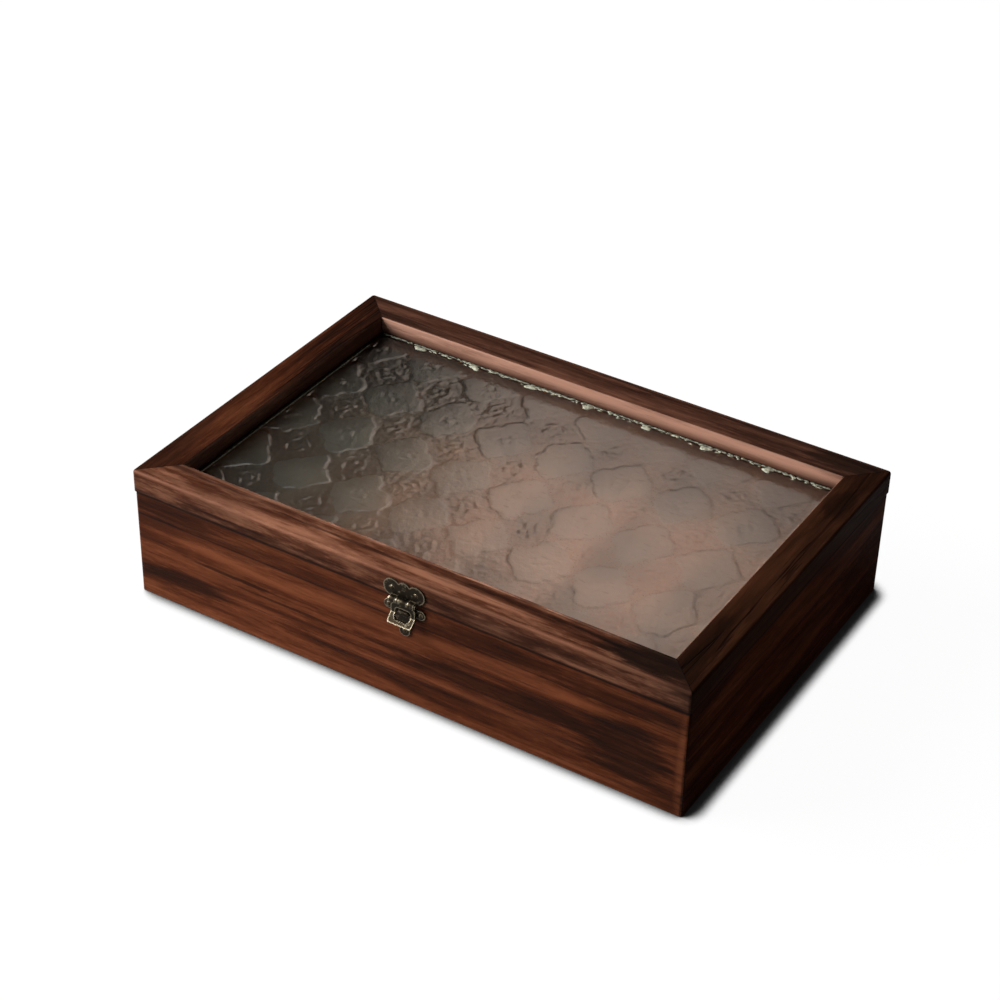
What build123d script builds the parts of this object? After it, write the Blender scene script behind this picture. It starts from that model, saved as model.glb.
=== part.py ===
from build123d import *

import os
from math import cos, radians, sin, tan

# Display box for cufflinks: a mitred wooden case with a hinged, glazed lid, a hasp and
# velvet cushions between egg-crate dividers. Millimetres, drawn with the lid closed.
# Origin: centre of the underside. +X runs along the front, the front faces -Y, +Z is up.

# ---- Case ----
case_length = 300.0
case_depth = 200.0
box_height = 70.0  # table to the top of the closed lid
wall_thickness = 9.0
corner_radius = 1.8  # upright outer corners of the case and the lid
bottom_thickness = 4.0
bottom_bearing = 4.5  # how far the bottom panel reaches into the walls' rebate
panel_clearance = 0.2

# ---- Lid ----
lid_height = 11.7
lid_overhang = 0.5
rail_width = 17.7
lid_arris_radius = 1.4  # top outer edge
window_arris_radius = 0.8  # top inner edge, around the glass
seam_gap = 0.3  # lid to case when closed
pane_thickness = 3.0
pane_clearance = 0.3
bead_thickness = 2.5
bead_setback = 0.5  # bead's inner edge behind the rail's inner edge
bead_clearance = 0.5  # bead to the case's walls
bead_shoulder = 3.4  # width of rail that the bead is pinned to
bead_pin_radius = 0.4
bead_pin_length = 7.0
bead_pin_inset = 30.0  # outermost pins, from the bead's ends
long_bead_pins = 4
short_bead_pins = 3

# ---- Lining, dividers and cushions ----
lining_thickness = 1.5
lining_clearance = 0.2
lining_headroom = 0.5  # lining's top edge below the beads
columns = 6
rows = 3
divider_thickness = 3.0
divider_height = 39.0
divider_clearance = 0.2
lap_clearance = 0.1  # each side of a half-lap notch
cushion_height = 22.0
cushion_base = 9.0  # solid foam below the grooves
cushion_rolls = 3
cushion_groove = 1.2
cushion_clearance = 0.4

# ---- Hinges ----
hinge_inset = 55.0  # hinge centre from the end of the case
leaf_width = 24.0
leaf_thickness = 1.0
leaf_corner_radius = 1.5
case_leaf_height = 14.0
case_leaf_drop = 1.0  # leaf's top edge below the case's top edge
lid_leaf_height = 7.8
lid_leaf_rise = 2.0  # leaf's lower edge above the lid's underside
knuckle_radius = 1.9
knuckle_gap = 0.3  # between neighbouring knuckles
lid_knuckle_length = 8.0
hinge_pin_radius = 0.9
hinge_swing_clearance = 0.5  # knuckle to the lid's back face
opening_angle = 100.0
stop_length = 4.6  # tail that meets the case leaf when the lid is fully open
stop_gap = 0.3
pin_head_height = 0.6
pin_head_overlap = 0.4  # head radius beyond the pin's radius
bore_clearance = 0.05  # radial, every pin and fastener in its hole

# ---- Hinge screws ----
screw_radius = 0.9
screw_length = 7.0
screw_head_radius = 1.8
screw_head_height = 0.7
screw_slot = 0.4
screw_spacing = 15.0
case_screw_drop = 7.5  # below the case leaf's top edge

# ---- Clasp ----
clasp_x = 5.0  # the clasp sits a little right of the middle
plate_thickness = 0.8
lid_plate_lobe = 4.6
lid_plate_lobe_spacing = 12.8
lid_plate_peak = 3.4
lid_plate_center_rise = 5.1  # lobe centres above the lid's underside
clasp_knuckle_radius = 1.6
clasp_pin_radius = 0.7
clasp_axis_offset = 2.1  # axis in front of the lid's front face
hasp_knuckle_length = 6.0
lid_plate_knuckle_length = 3.4
clasp_knuckle_gap = 0.25
clasp_swing_clearance = 0.35
hasp_width = 13.0
hasp_thickness = 1.0
hasp_running_gap = 0.4  # hasp to the catch plate
hasp_corner_radius = 2.2
hasp_shoulder_drop = 2.0  # wide part's top edge below the axis
hasp_slot_width = 8.4
hasp_slot_top_drop = 4.4  # below the axis
hasp_slot_length = 5.4
hasp_slot_corner_radius = 1.8
hasp_bend_drop = 7.9
hasp_lip_run = 4.0
hasp_lip_angle = 45.0
catch_top_drop = 2.5  # catch plate's top edge below the case's top edge
catch_ear_radius = 2.6
catch_ear_spacing = 17.2
catch_ear_drop = 2.4
catch_waist = 9.0
catch_shoulder = 15.0
catch_neck = 5.4
catch_tail_radius = 3.0
catch_tail_drop = 14.4
nose_length = 6.4
nose_width = 2.6
nose_height = 1.5
nose_round = 0.9
nose_drop = 7.0  # below the hasp's axis
nail_radius = 0.5
nail_length = 6.0
nail_head_radius = 1.2
nail_head_height = 0.6

# ---- Derived places ----
case_front = -case_depth / 2
case_back = case_depth / 2
lid_bottom = box_height - lid_height
case_height = lid_bottom - seam_gap
inner_length = case_length - 2 * wall_thickness
inner_depth = case_depth - 2 * wall_thickness
panel_length = inner_length + 2 * bottom_bearing
panel_depth = inner_depth + 2 * bottom_bearing

lid_length = case_length + 2 * lid_overhang
lid_depth = case_depth + 2 * lid_overhang
lid_front = -lid_depth / 2
lid_back = lid_depth / 2
window_length = lid_length - 2 * rail_width
window_depth = lid_depth - 2 * rail_width
bead_length = inner_length - 2 * bead_clearance
bead_depth = inner_depth - 2 * bead_clearance
bead_width = (bead_length - window_length) / 2 - bead_setback
pocket_length = bead_length - 2 * bead_shoulder
pocket_depth = bead_depth - 2 * bead_shoulder
pane_length = pocket_length - 2 * pane_clearance
pane_depth = pocket_depth - 2 * pane_clearance
pin_line_x = (bead_length - bead_shoulder) / 2
pin_line_y = (bead_depth - bead_shoulder) / 2
long_pin_step = (bead_length - 2 * bead_pin_inset) / (long_bead_pins - 1)
short_pin_step = (bead_depth - 2 * bead_pin_inset) / (short_bead_pins - 1)
long_pin_x = [bead_pin_inset - bead_length / 2 + i * long_pin_step for i in range(long_bead_pins)]
short_pin_y = [bead_pin_inset - bead_depth / 2 + i * short_pin_step for i in range(short_bead_pins)]
bead_pin_spots = [(x, sign * pin_line_y) for x in long_pin_x for sign in (-1, 1)]
bead_pin_spots += [(sign * pin_line_x, y) for y in short_pin_y for sign in (-1, 1)]

floor_top = bottom_thickness + lining_thickness
lining_top = lid_bottom - bead_thickness - lining_headroom
lined_length = inner_length - 2 * lining_thickness - 2 * lining_clearance
lined_depth = inner_depth - 2 * lining_thickness - 2 * lining_clearance
cell_length = (lined_length - (columns - 1) * divider_thickness) / columns
cell_depth = (lined_depth - (rows - 1) * divider_thickness) / rows
cell_pitch_x = cell_length + divider_thickness
cell_pitch_y = cell_depth + divider_thickness
cross_divider_x = [(i - columns / 2) * cell_pitch_x for i in range(1, columns)]
long_divider_y = [(j - rows / 2) * cell_pitch_y for j in range(1, rows)]

hinge_y = lid_back + knuckle_radius + hinge_swing_clearance
hinge_z = lid_bottom - seam_gap / 2
hinge_places = {"left": -case_length / 2 + hinge_inset, "right": case_length / 2 - hinge_inset}
case_leaf_top = case_height - case_leaf_drop
lid_leaf_bottom = lid_bottom + lid_leaf_rise
case_knuckle_length = (leaf_width - lid_knuckle_length) / 2 - knuckle_gap
case_screw_z = case_leaf_top - case_screw_drop
lid_screw_z = lid_leaf_bottom + lid_leaf_height / 2
screw_offsets = [-screw_spacing / 2, screw_spacing / 2]

clasp_axis_y = lid_front - clasp_axis_offset
clasp_axis_z = lid_bottom
lid_plate_center_z = lid_bottom + lid_plate_center_rise
lid_nail_spots = [(clasp_x + side * lid_plate_lobe_spacing / 2, lid_plate_center_z) for side in (-1, 1)]
catch_top = case_height - catch_top_drop
catch_ear_z = catch_top - catch_ear_drop
catch_tail_z = catch_top - catch_tail_drop
catch_nail_spots = [(clasp_x + side * catch_ear_spacing / 2, catch_ear_z) for side in (-1, 1)]
catch_nail_spots.append((clasp_x, catch_tail_z))
catch_face = case_front - plate_thickness
hasp_back = catch_face - hasp_running_gap
hasp_face = hasp_back - hasp_thickness

SIDES = ("front", "back", "left", "right")
MIN = Align.MIN
MID = Align.CENTER
FACING_FRONT = (90, 0, 0)  # turns a part drawn along +Z to point along -Y
FACING_BACK = (-90, 0, 0)
ALONG_X = (0, 90, 0)
ALONG_Y = (90, 0, 0)

os.makedirs("parts", exist_ok=True)


def save(part, name):
    """Label a finished sub-part and write it as its own STEP file."""
    part.label = name
    export_step(part, f"parts/{name}.step")


def mitre_corners(length, depth, width, side):
    """Plan corners of one side of a mitred rectangular frame."""
    x = length / 2
    y = depth / 2
    inner_x = x - width
    inner_y = y - width
    return {
        "front": [(-x, -y), (x, -y), (inner_x, -inner_y), (-inner_x, -inner_y)],
        "back": [(-x, y), (x, y), (inner_x, inner_y), (-inner_x, inner_y)],
        "left": [(-x, -y), (-x, y), (-inner_x, inner_y), (-inner_x, -inner_y)],
        "right": [(x, -y), (x, y), (inner_x, inner_y), (inner_x, -inner_y)],
    }[side]


def mitred_side(blank, corners, bottom, height):
    """One side of a frame, cut from the whole blank along its two mitres."""
    with BuildPart() as piece:
        add(blank)
        with BuildSketch(Plane.XY.offset(bottom)):
            Polygon(*corners, align=None)
        extrude(amount=height, mode=Mode.INTERSECT)
    return piece.part


def drilled(part, spots, radius, length, face_y, rotation):
    """The part with straight holes along Y, each from face_y inwards, at (x, z) spots."""
    with BuildPart() as piece:
        add(part)
        with Locations(*[(x, face_y, z) for x, z in spots]):
            Cylinder(radius, length, rotation=rotation, align=(MID, MID, Align.MAX), mode=Mode.SUBTRACT)
    return piece.part


def fastener(radius, length, head_radius, head_height, slot=0.0):
    """A nail or screw along Z, with the underside of its domed head at z = 0."""
    with BuildPart() as piece:
        with BuildSketch(Plane.XZ):
            with BuildLine():
                TangentArc((0, head_height), (head_radius, 0), tangent=(1, 0))
                Polyline((head_radius, 0), (radius, 0), (radius, radius - length), (0, -length))
                Line((0, -length), (0, head_height))
            make_face()
        revolve(axis=Axis.Z)
        if slot:
            with Locations((0, 0, head_height)):
                Box(2 * head_radius, slot, head_height, mode=Mode.SUBTRACT)
    return piece.part


def headed_pin(radius, length, x, y, z):
    """A pin along X with a flat head at each end, centred on (x, y, z)."""
    with BuildPart() as piece:
        with Locations((x, y, z)):
            Cylinder(radius, length, rotation=ALONG_X)
        with Locations(*[(x + side * (length + pin_head_height) / 2, y, z) for side in (-1, 1)]):
            Cylinder(radius + pin_head_overlap, pin_head_height, rotation=ALONG_X)
    return piece.part


# ---- Case: four mitred walls around a rebated bottom panel ----
with BuildPart() as case_blank:
    with BuildSketch():
        RectangleRounded(case_length, case_depth, corner_radius)
        Rectangle(inner_length, inner_depth, mode=Mode.SUBTRACT)
    extrude(amount=case_height)
    with BuildSketch():
        Rectangle(panel_length + 2 * panel_clearance, panel_depth + 2 * panel_clearance)
    extrude(amount=bottom_thickness, mode=Mode.SUBTRACT)

walls = {}
for side in SIDES:
    outline = mitre_corners(case_length, case_depth, wall_thickness, side)
    walls[side] = mitred_side(case_blank.part, outline, 0, case_height)

hole_radius = screw_radius + bore_clearance
nail_hole_radius = nail_radius + bore_clearance
screw_depth = screw_length - leaf_thickness
case_screw_spots = [(x + dx, case_screw_z) for x in hinge_places.values() for dx in screw_offsets]
walls["back"] = drilled(walls["back"], case_screw_spots, hole_radius, screw_depth, case_back, FACING_BACK)
nail_depth = nail_length - plate_thickness
front_wall = walls["front"]
walls["front"] = drilled(front_wall, catch_nail_spots, nail_hole_radius, nail_depth, case_front, FACING_FRONT)
for side, wall in walls.items():
    save(wall, f"{side}_wall")

with BuildPart() as bottom_panel:
    Box(panel_length, panel_depth, bottom_thickness, align=(MID, MID, MIN))
save(bottom_panel.part, "bottom_panel")

# ---- Velvet-covered lining boards ----
with BuildPart() as floor_lining:
    with Locations((0, 0, bottom_thickness)):
        floor_length = inner_length - 2 * lining_clearance
        floor_depth = inner_depth - 2 * lining_clearance
        Box(floor_length, floor_depth, lining_thickness, align=(MID, MID, MIN))
save(floor_lining.part, "floor_lining")

lining_height = lining_top - floor_top
front_lining_y = (lined_depth + lining_thickness) / 2
side_lining_x = (lined_length + lining_thickness) / 2
for side, sign in (("front", -1), ("back", 1)):
    with BuildPart() as lining:
        with Locations((0, sign * front_lining_y, floor_top)):
            Box(floor_length, lining_thickness, lining_height, align=(MID, MID, MIN))
    save(lining.part, f"{side}_lining")
for side, sign in (("left", -1), ("right", 1)):
    with BuildPart() as lining:
        with Locations((sign * side_lining_x, 0, floor_top)):
            Box(lining_thickness, lined_depth, lining_height, align=(MID, MID, MIN))
    save(lining.part, f"{side}_lining")

# ---- Dividers: half-lapped, the cross ones notched from above ----
notch_width = divider_thickness + 2 * lap_clearance
notch_height = divider_height / 2 + lap_clearance
for number, x in enumerate(cross_divider_x, start=1):
    with BuildPart() as divider:
        with Locations((x, 0, floor_top)):
            run = lined_depth - 2 * divider_clearance
            Box(divider_thickness, run, divider_height, align=(MID, MID, MIN))
        with Locations(*[(x, y, floor_top + divider_height) for y in long_divider_y]):
            notch_align = (MID, MID, Align.MAX)
            Box(divider_thickness, notch_width, notch_height, align=notch_align, mode=Mode.SUBTRACT)
    save(divider.part, f"cross_divider_{number}")
for number, y in enumerate(long_divider_y, start=1):
    with BuildPart() as divider:
        with Locations((0, y, floor_top)):
            run = lined_length - 2 * divider_clearance
            Box(run, divider_thickness, divider_height, align=(MID, MID, MIN))
        with Locations(*[(x, y, floor_top) for x in cross_divider_x]):
            notch_align = (MID, MID, MIN)
            Box(notch_width, divider_thickness, notch_height, align=notch_align, mode=Mode.SUBTRACT)
    save(divider.part, f"long_divider_{number}")

# ---- Cushions: foam rolls side by side on one base, with a groove between each two ----
cushion_length = cell_length - 2 * cushion_clearance
cushion_depth = cell_depth - 2 * cushion_clearance
roll_width = (cushion_depth - (cushion_rolls - 1) * cushion_groove) / cushion_rolls
roll_pitch = roll_width + cushion_groove
with BuildPart() as cushion_form:
    with BuildSketch(Plane.YZ):
        Rectangle(cushion_depth, cushion_base, align=(MID, MIN))
        with GridLocations(roll_pitch, 0, cushion_rolls, 1):
            Rectangle(roll_width, cushion_height - roll_width / 2, align=(MID, MIN))
        with Locations((0, cushion_height - roll_width / 2)):
            with GridLocations(roll_pitch, 0, cushion_rolls, 1):
                Circle(roll_width / 2)
    extrude(amount=cushion_length / 2, both=True)
for row in range(rows):
    for column in range(columns):
        with BuildPart() as cushion:
            cell_x = (column - (columns - 1) / 2) * cell_pitch_x
            cell_y = (row - (rows - 1) / 2) * cell_pitch_y
            with Locations((cell_x, cell_y, floor_top)):
                add(cushion_form.part)
        save(cushion.part, f"cushion_r{row + 1}_c{column + 1}")

# ---- Lid: four mitred rails, a pane in their rebate and beads pinned under it ----
pin_hole_radius = bead_pin_radius + bore_clearance
with BuildPart() as lid_blank:
    with BuildSketch(Plane.XY.offset(lid_bottom)):
        RectangleRounded(lid_length, lid_depth, corner_radius)
    extrude(amount=lid_height)
    fillet(lid_blank.faces().sort_by(Axis.Z)[-1].edges(), lid_arris_radius)
    with BuildSketch(Plane.XY.offset(lid_bottom)):
        Rectangle(window_length, window_depth)
    extrude(amount=lid_height, mode=Mode.SUBTRACT)
    fillet(lid_blank.faces().sort_by(Axis.Z)[-1].inner_wires().edges(), window_arris_radius)
    with BuildSketch(Plane.XY.offset(lid_bottom)):
        Rectangle(pocket_length, pocket_depth)
    extrude(amount=pane_thickness, mode=Mode.SUBTRACT)
    with Locations(*[(x, y, lid_bottom) for x, y in bead_pin_spots]):
        pin_depth = bead_pin_length - bead_thickness
        Cylinder(pin_hole_radius, pin_depth, align=(MID, MID, MIN), mode=Mode.SUBTRACT)

rails = {}
for side in SIDES:
    outline = mitre_corners(lid_length, lid_depth, rail_width, side)
    rails[side] = mitred_side(lid_blank.part, outline, lid_bottom, lid_height)
lid_screw_spots = [(x + dx, lid_screw_z) for x in hinge_places.values() for dx in screw_offsets]
rails["back"] = drilled(rails["back"], lid_screw_spots, hole_radius, screw_depth, lid_back, FACING_BACK)
front_rail = rails["front"]
rails["front"] = drilled(front_rail, lid_nail_spots, nail_hole_radius, nail_depth, lid_front, FACING_FRONT)
for side, rail in rails.items():
    save(rail, f"lid_{side}_rail")

with BuildPart() as glass_pane:
    with Locations((0, 0, lid_bottom)):
        Box(pane_length, pane_depth, pane_thickness, align=(MID, MID, MIN))
save(glass_pane.part, "glass_pane")

bead_bottom = lid_bottom - bead_thickness
with BuildPart() as bead_blank:
    with BuildSketch(Plane.XY.offset(bead_bottom)):
        Rectangle(bead_length, bead_depth)
        Rectangle(bead_length - 2 * bead_width, bead_depth - 2 * bead_width, mode=Mode.SUBTRACT)
    extrude(amount=bead_thickness)
    with Locations(*[(x, y, bead_bottom) for x, y in bead_pin_spots]):
        Cylinder(pin_hole_radius, bead_thickness, align=(MID, MID, MIN), mode=Mode.SUBTRACT)
for side in SIDES:
    outline = mitre_corners(bead_length, bead_depth, bead_width, side)
    save(mitred_side(bead_blank.part, outline, bead_bottom, bead_thickness), f"glazing_bead_{side}")

with BuildPart() as bead_pins:
    with Locations(*[(x, y, bead_bottom) for x, y in bead_pin_spots]):
        Cylinder(bead_pin_radius, bead_pin_length, align=(MID, MID, MIN))
save(bead_pins.part, "bead_pins")

# ---- Hinges: a leaf on the case, a leaf with a stop tail on the lid, and a pin ----


def hinge_leaf(x, plate_bottom, plate_height, back_face, knuckles, web, screw_z, tail=0.0):
    """One leaf: a flat plate on a back face, with knuckles (offset, length) bent out to the pin.

    web holds the YZ corners of the bent neck. tail is the length of a stop tail, drawn where
    it lies with the lid open and then turned back to the closed lid.
    """
    with BuildPart() as leaf:
        with BuildSketch(Plane.XZ.offset(-back_face)):
            with Locations((x, plate_bottom + plate_height / 2)):
                RectangleRounded(leaf_width, plate_height, leaf_corner_radius)
        extrude(amount=-leaf_thickness)
        for offset, length in knuckles:
            with BuildSketch(Plane.YZ.offset(x + offset)):
                Polygon(*web, align=None)
                with Locations((hinge_y, hinge_z)):
                    Circle(knuckle_radius)
                if tail:
                    with Locations(Location((hinge_y, hinge_z, 0), (0, 0, opening_angle))):
                        with Locations((stop_face - hinge_y, 0)):
                            Rectangle(leaf_thickness, tail, align=(MIN, Align.MAX))
            extrude(amount=length / 2, both=True)
        with Locations(*[(x + dx, back_face, screw_z) for dx in screw_offsets]):
            Cylinder(hole_radius, 4 * leaf_thickness, rotation=ALONG_Y, mode=Mode.SUBTRACT)
        with Locations((x, hinge_y, hinge_z)):
            Cylinder(bore_radius, 2 * leaf_width, rotation=ALONG_X, mode=Mode.SUBTRACT)
    return leaf.part


bore_radius = hinge_pin_radius + bore_clearance
case_web = [
    (case_back, case_leaf_top - 2 * leaf_thickness),
    (case_back + leaf_thickness, case_leaf_top - 2 * leaf_thickness),
    (hinge_y, hinge_z - knuckle_radius),
    (hinge_y, hinge_z),
    (case_back, case_leaf_top),
]
lid_web = [
    (lid_back, lid_leaf_bottom + 2 * leaf_thickness),
    (lid_back + leaf_thickness, lid_leaf_bottom + 2 * leaf_thickness),
    (hinge_y, hinge_z + knuckle_radius),
    (hinge_y, hinge_z),
    (lid_back, lid_leaf_bottom),
]
case_knuckle_offset = (lid_knuckle_length + case_knuckle_length) / 2 + knuckle_gap
case_knuckles = [(-case_knuckle_offset, case_knuckle_length), (case_knuckle_offset, case_knuckle_length)]
lid_knuckles = [(0, lid_knuckle_length)]
case_leaf_bottom = case_leaf_top - case_leaf_height
stop_face = case_back + leaf_thickness + stop_gap

for name, x in hinge_places.items():
    leaf = hinge_leaf(x, case_leaf_bottom, case_leaf_height, case_back, case_knuckles, case_web, case_screw_z)
    save(leaf, f"hinge_{name}_case_leaf")
    leaf = hinge_leaf(
        x, lid_leaf_bottom, lid_leaf_height, lid_back, lid_knuckles, lid_web, lid_screw_z, stop_length
    )
    save(leaf, f"hinge_{name}_lid_leaf")
    save(headed_pin(hinge_pin_radius, leaf_width, x, hinge_y, hinge_z), f"hinge_{name}_pin")

hinge_screw = fastener(screw_radius, screw_length, screw_head_radius, screw_head_height, screw_slot)
for body, spots, face in (
    ("case", case_screw_spots, case_back + leaf_thickness),
    ("lid", lid_screw_spots, lid_back + leaf_thickness),
):
    with BuildPart() as screws:
        with Locations(*[(x, face, z) for x, z in spots]):
            add(hinge_screw, rotation=FACING_BACK)
    save(screws.part, f"hinge_screws_{body}")

# ---- Clasp: a plate on the lid, a hasp hung on its pin and a catch plate with a nose ----
clasp_bore_radius = clasp_pin_radius + bore_clearance
knuckle_span = hasp_knuckle_length + 2 * (clasp_knuckle_gap + lid_plate_knuckle_length)
lid_knuckle_offset = (hasp_knuckle_length + lid_plate_knuckle_length) / 2 + clasp_knuckle_gap
clasp_knuckle_spots = [(clasp_x + sign * lid_knuckle_offset, clasp_axis_y, clasp_axis_z) for sign in (-1, 1)]

with BuildPart() as clasp_lid_plate:
    with BuildSketch(Plane.XZ.offset(-lid_front)):
        with Locations((clasp_x, lid_plate_center_z)):
            with GridLocations(lid_plate_lobe_spacing, 0, 2, 1):
                Circle(lid_plate_lobe)
            with Locations((0, lid_plate_lobe - lid_plate_peak)):
                Circle(lid_plate_peak)
            Rectangle(lid_plate_lobe_spacing, lid_plate_lobe, align=(MID, MID))
            Rectangle(knuckle_span, lid_plate_center_rise, align=(MID, Align.MAX))
    extrude(amount=plate_thickness)
    with Locations(*clasp_knuckle_spots):
        Cylinder(clasp_knuckle_radius, lid_plate_knuckle_length, rotation=ALONG_X)
        Box(lid_plate_knuckle_length, clasp_axis_offset, clasp_knuckle_radius, align=(MID, MIN, MIN))
    with Locations((clasp_x, clasp_axis_y, clasp_axis_z)):
        relief_length = hasp_knuckle_length + 2 * clasp_knuckle_gap
        relief_radius = clasp_knuckle_radius + clasp_swing_clearance
        Cylinder(relief_radius, relief_length, rotation=ALONG_X, mode=Mode.SUBTRACT)
        Cylinder(clasp_bore_radius, 2 * knuckle_span, rotation=ALONG_X, mode=Mode.SUBTRACT)
    with Locations(*[(x, lid_front, z) for x, z in lid_nail_spots]):
        Cylinder(nail_hole_radius, 2 * plate_thickness, rotation=ALONG_Y, mode=Mode.SUBTRACT)
save(clasp_lid_plate.part, "clasp_lid_plate")
save(headed_pin(clasp_pin_radius, knuckle_span, clasp_x, clasp_axis_y, clasp_axis_z), "clasp_pin")

bend_z = clasp_axis_z - hasp_bend_drop
lip = radians(hasp_lip_angle)
lip_drop = hasp_lip_run / tan(lip)
lip_tip = (hasp_back - hasp_lip_run, bend_z - lip_drop)
hasp_profile = [
    (hasp_back, clasp_axis_z),
    (hasp_back, bend_z),
    lip_tip,
    (lip_tip[0] - hasp_thickness * cos(lip), lip_tip[1] + hasp_thickness * sin(lip)),
    (hasp_face, bend_z + hasp_thickness * tan(lip / 2)),
    (hasp_face, clasp_axis_z),
]
hasp_shoulder_z = clasp_axis_z - hasp_shoulder_drop
hasp_height = hasp_shoulder_z - lip_tip[1]
with BuildPart() as hasp:
    with BuildSketch(Plane.YZ.offset(clasp_x)):
        Polygon(*hasp_profile, align=None)
    extrude(amount=hasp_width / 2, both=True)
    with BuildSketch(Plane.XZ.offset(-case_front)):
        with Locations((clasp_x, hasp_shoulder_z - hasp_height / 2)):
            RectangleRounded(hasp_width, hasp_height, hasp_corner_radius)
        with Locations((clasp_x, clasp_axis_z)):
            Rectangle(hasp_knuckle_length, hasp_height / 2, align=(MID, Align.MAX))
        with Locations((clasp_x, clasp_axis_z - hasp_slot_top_drop)):
            with Locations((0, -hasp_slot_length / 2)):
                RectangleRounded(
                    hasp_slot_width, hasp_slot_length, hasp_slot_corner_radius, mode=Mode.SUBTRACT
                )
    extrude(amount=case_depth, mode=Mode.INTERSECT)
    with Locations((clasp_x, clasp_axis_y, clasp_axis_z)):
        Cylinder(clasp_knuckle_radius, hasp_knuckle_length, rotation=ALONG_X)
        Cylinder(clasp_bore_radius, 2 * knuckle_span, rotation=ALONG_X, mode=Mode.SUBTRACT)
save(hasp.part, "hasp")

with BuildPart() as catch_plate:
    with BuildSketch(Plane.XZ.offset(-case_front)):
        with Locations((clasp_x, catch_ear_z)):
            with GridLocations(catch_ear_spacing, 0, 2, 1):
                Circle(catch_ear_radius)
            Rectangle(catch_ear_spacing, 2 * catch_ear_drop)
        with Locations((clasp_x, 0)):
            waist_z = (catch_ear_z + catch_tail_z) / 2
            right = [(catch_shoulder / 2, catch_ear_z), (catch_waist / 2, waist_z)]
            right.append((catch_neck / 2, catch_tail_z))
            left = [(-x, z) for x, z in reversed(right)]
            Polygon(*right, *left, align=None)
        with Locations((clasp_x, catch_tail_z)):
            Circle(catch_tail_radius)
    extrude(amount=plate_thickness)
    with BuildSketch(Plane.XZ.offset(-catch_face)):
        with Locations((clasp_x, clasp_axis_z - nose_drop)):
            SlotOverall(nose_length, nose_width)
    extrude(amount=nose_height)
    fillet(catch_plate.faces().sort_by(Axis.Y)[0].edges(), nose_round)
    with Locations(*[(x, case_front, z) for x, z in catch_nail_spots]):
        Cylinder(nail_hole_radius, 2 * plate_thickness, rotation=ALONG_Y, mode=Mode.SUBTRACT)
save(catch_plate.part, "catch_plate")

clasp_nail = fastener(nail_radius, nail_length, nail_head_radius, nail_head_height)
for name, spots, face in (
    ("clasp_nails_lid", lid_nail_spots, lid_front - plate_thickness),
    ("clasp_nails_case", catch_nail_spots, catch_face),
):
    with BuildPart() as nails:
        with Locations(*[(x, face, z) for x, z in spots]):
            add(clasp_nail, rotation=FACING_FRONT)
    save(nails.part, name)
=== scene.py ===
"""Dresses the cufflink display box: torched wood, patterned glass, bronze and velvet.

Lengths are metres in the part's own frame: the origin is the centre of the underside, the
front faces -Y and +Z is up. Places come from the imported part, and the sizes written here
belong to the finishes and to the soft pieces.
"""

import logging
import math
from dataclasses import dataclass
from enum import Enum
from typing import Callable, Sequence

import bmesh
import bpy
import numpy as np
from mathutils import Matrix, Vector
from mathutils.bvhtree import BVHTree


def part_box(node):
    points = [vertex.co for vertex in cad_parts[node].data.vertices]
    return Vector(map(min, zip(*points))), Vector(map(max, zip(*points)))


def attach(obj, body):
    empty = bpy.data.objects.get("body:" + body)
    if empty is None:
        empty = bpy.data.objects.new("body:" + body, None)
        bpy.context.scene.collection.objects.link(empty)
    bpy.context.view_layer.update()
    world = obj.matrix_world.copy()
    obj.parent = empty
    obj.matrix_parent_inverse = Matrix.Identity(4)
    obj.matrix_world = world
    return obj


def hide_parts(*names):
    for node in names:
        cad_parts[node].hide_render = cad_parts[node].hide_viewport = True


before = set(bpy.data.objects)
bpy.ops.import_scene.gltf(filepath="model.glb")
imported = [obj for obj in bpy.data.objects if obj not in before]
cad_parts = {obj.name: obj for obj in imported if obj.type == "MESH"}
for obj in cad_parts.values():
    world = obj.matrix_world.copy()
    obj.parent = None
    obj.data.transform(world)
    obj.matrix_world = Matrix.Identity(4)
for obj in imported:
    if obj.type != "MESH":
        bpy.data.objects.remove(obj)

MM = 0.001
TINY = 1e-9  # keeps a division off zero
SAME_POINT = 0.001 * MM  # closer points of a rigid piece are one
SHARP = math.radians(35)  # a rigid piece's edge that turns by more is rounded
ROWS = 3
COLUMNS = 6

Colour = tuple[float, float, float, float]
Triple = tuple[float, float, float]
Pair = tuple[float, float]
Socket = bpy.types.NodeSocket
Value = Socket | float

log = logging.getLogger("display_box")


def screen_colour(red: int, green: int, blue: int) -> Colour:
    """Turns a colour as a screen shows it into the linear one that shaders take.

    Args:
        red: Red from 0 to 255.
        green: Green from 0 to 255.
        blue: Blue from 0 to 255.

    Returns:
        The linear colour, with full alpha.
    """

    def linear(level: int) -> float:
        """Undoes the screen's curve for one channel."""
        share = level / 255
        return share / 12.92 if share <= 0.04045 else ((share + 0.055) / 1.055) ** 2.4

    return linear(red), linear(green), linear(blue), 1.0


def grey(level: float) -> Colour:
    """Gives a grey of that linear level."""
    return level, level, level, 1.0


@dataclass(frozen=True)
class Cloud:
    """Cloudy noise about 0.5, from which the finishes take what varies in them."""

    per_metre: Triple  # clouds to a metre; in wood along the grain, across it and in height
    detail: float = 2.0
    roughness: float = 0.5
    shift: Triple = (0, 0, 0)


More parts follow.
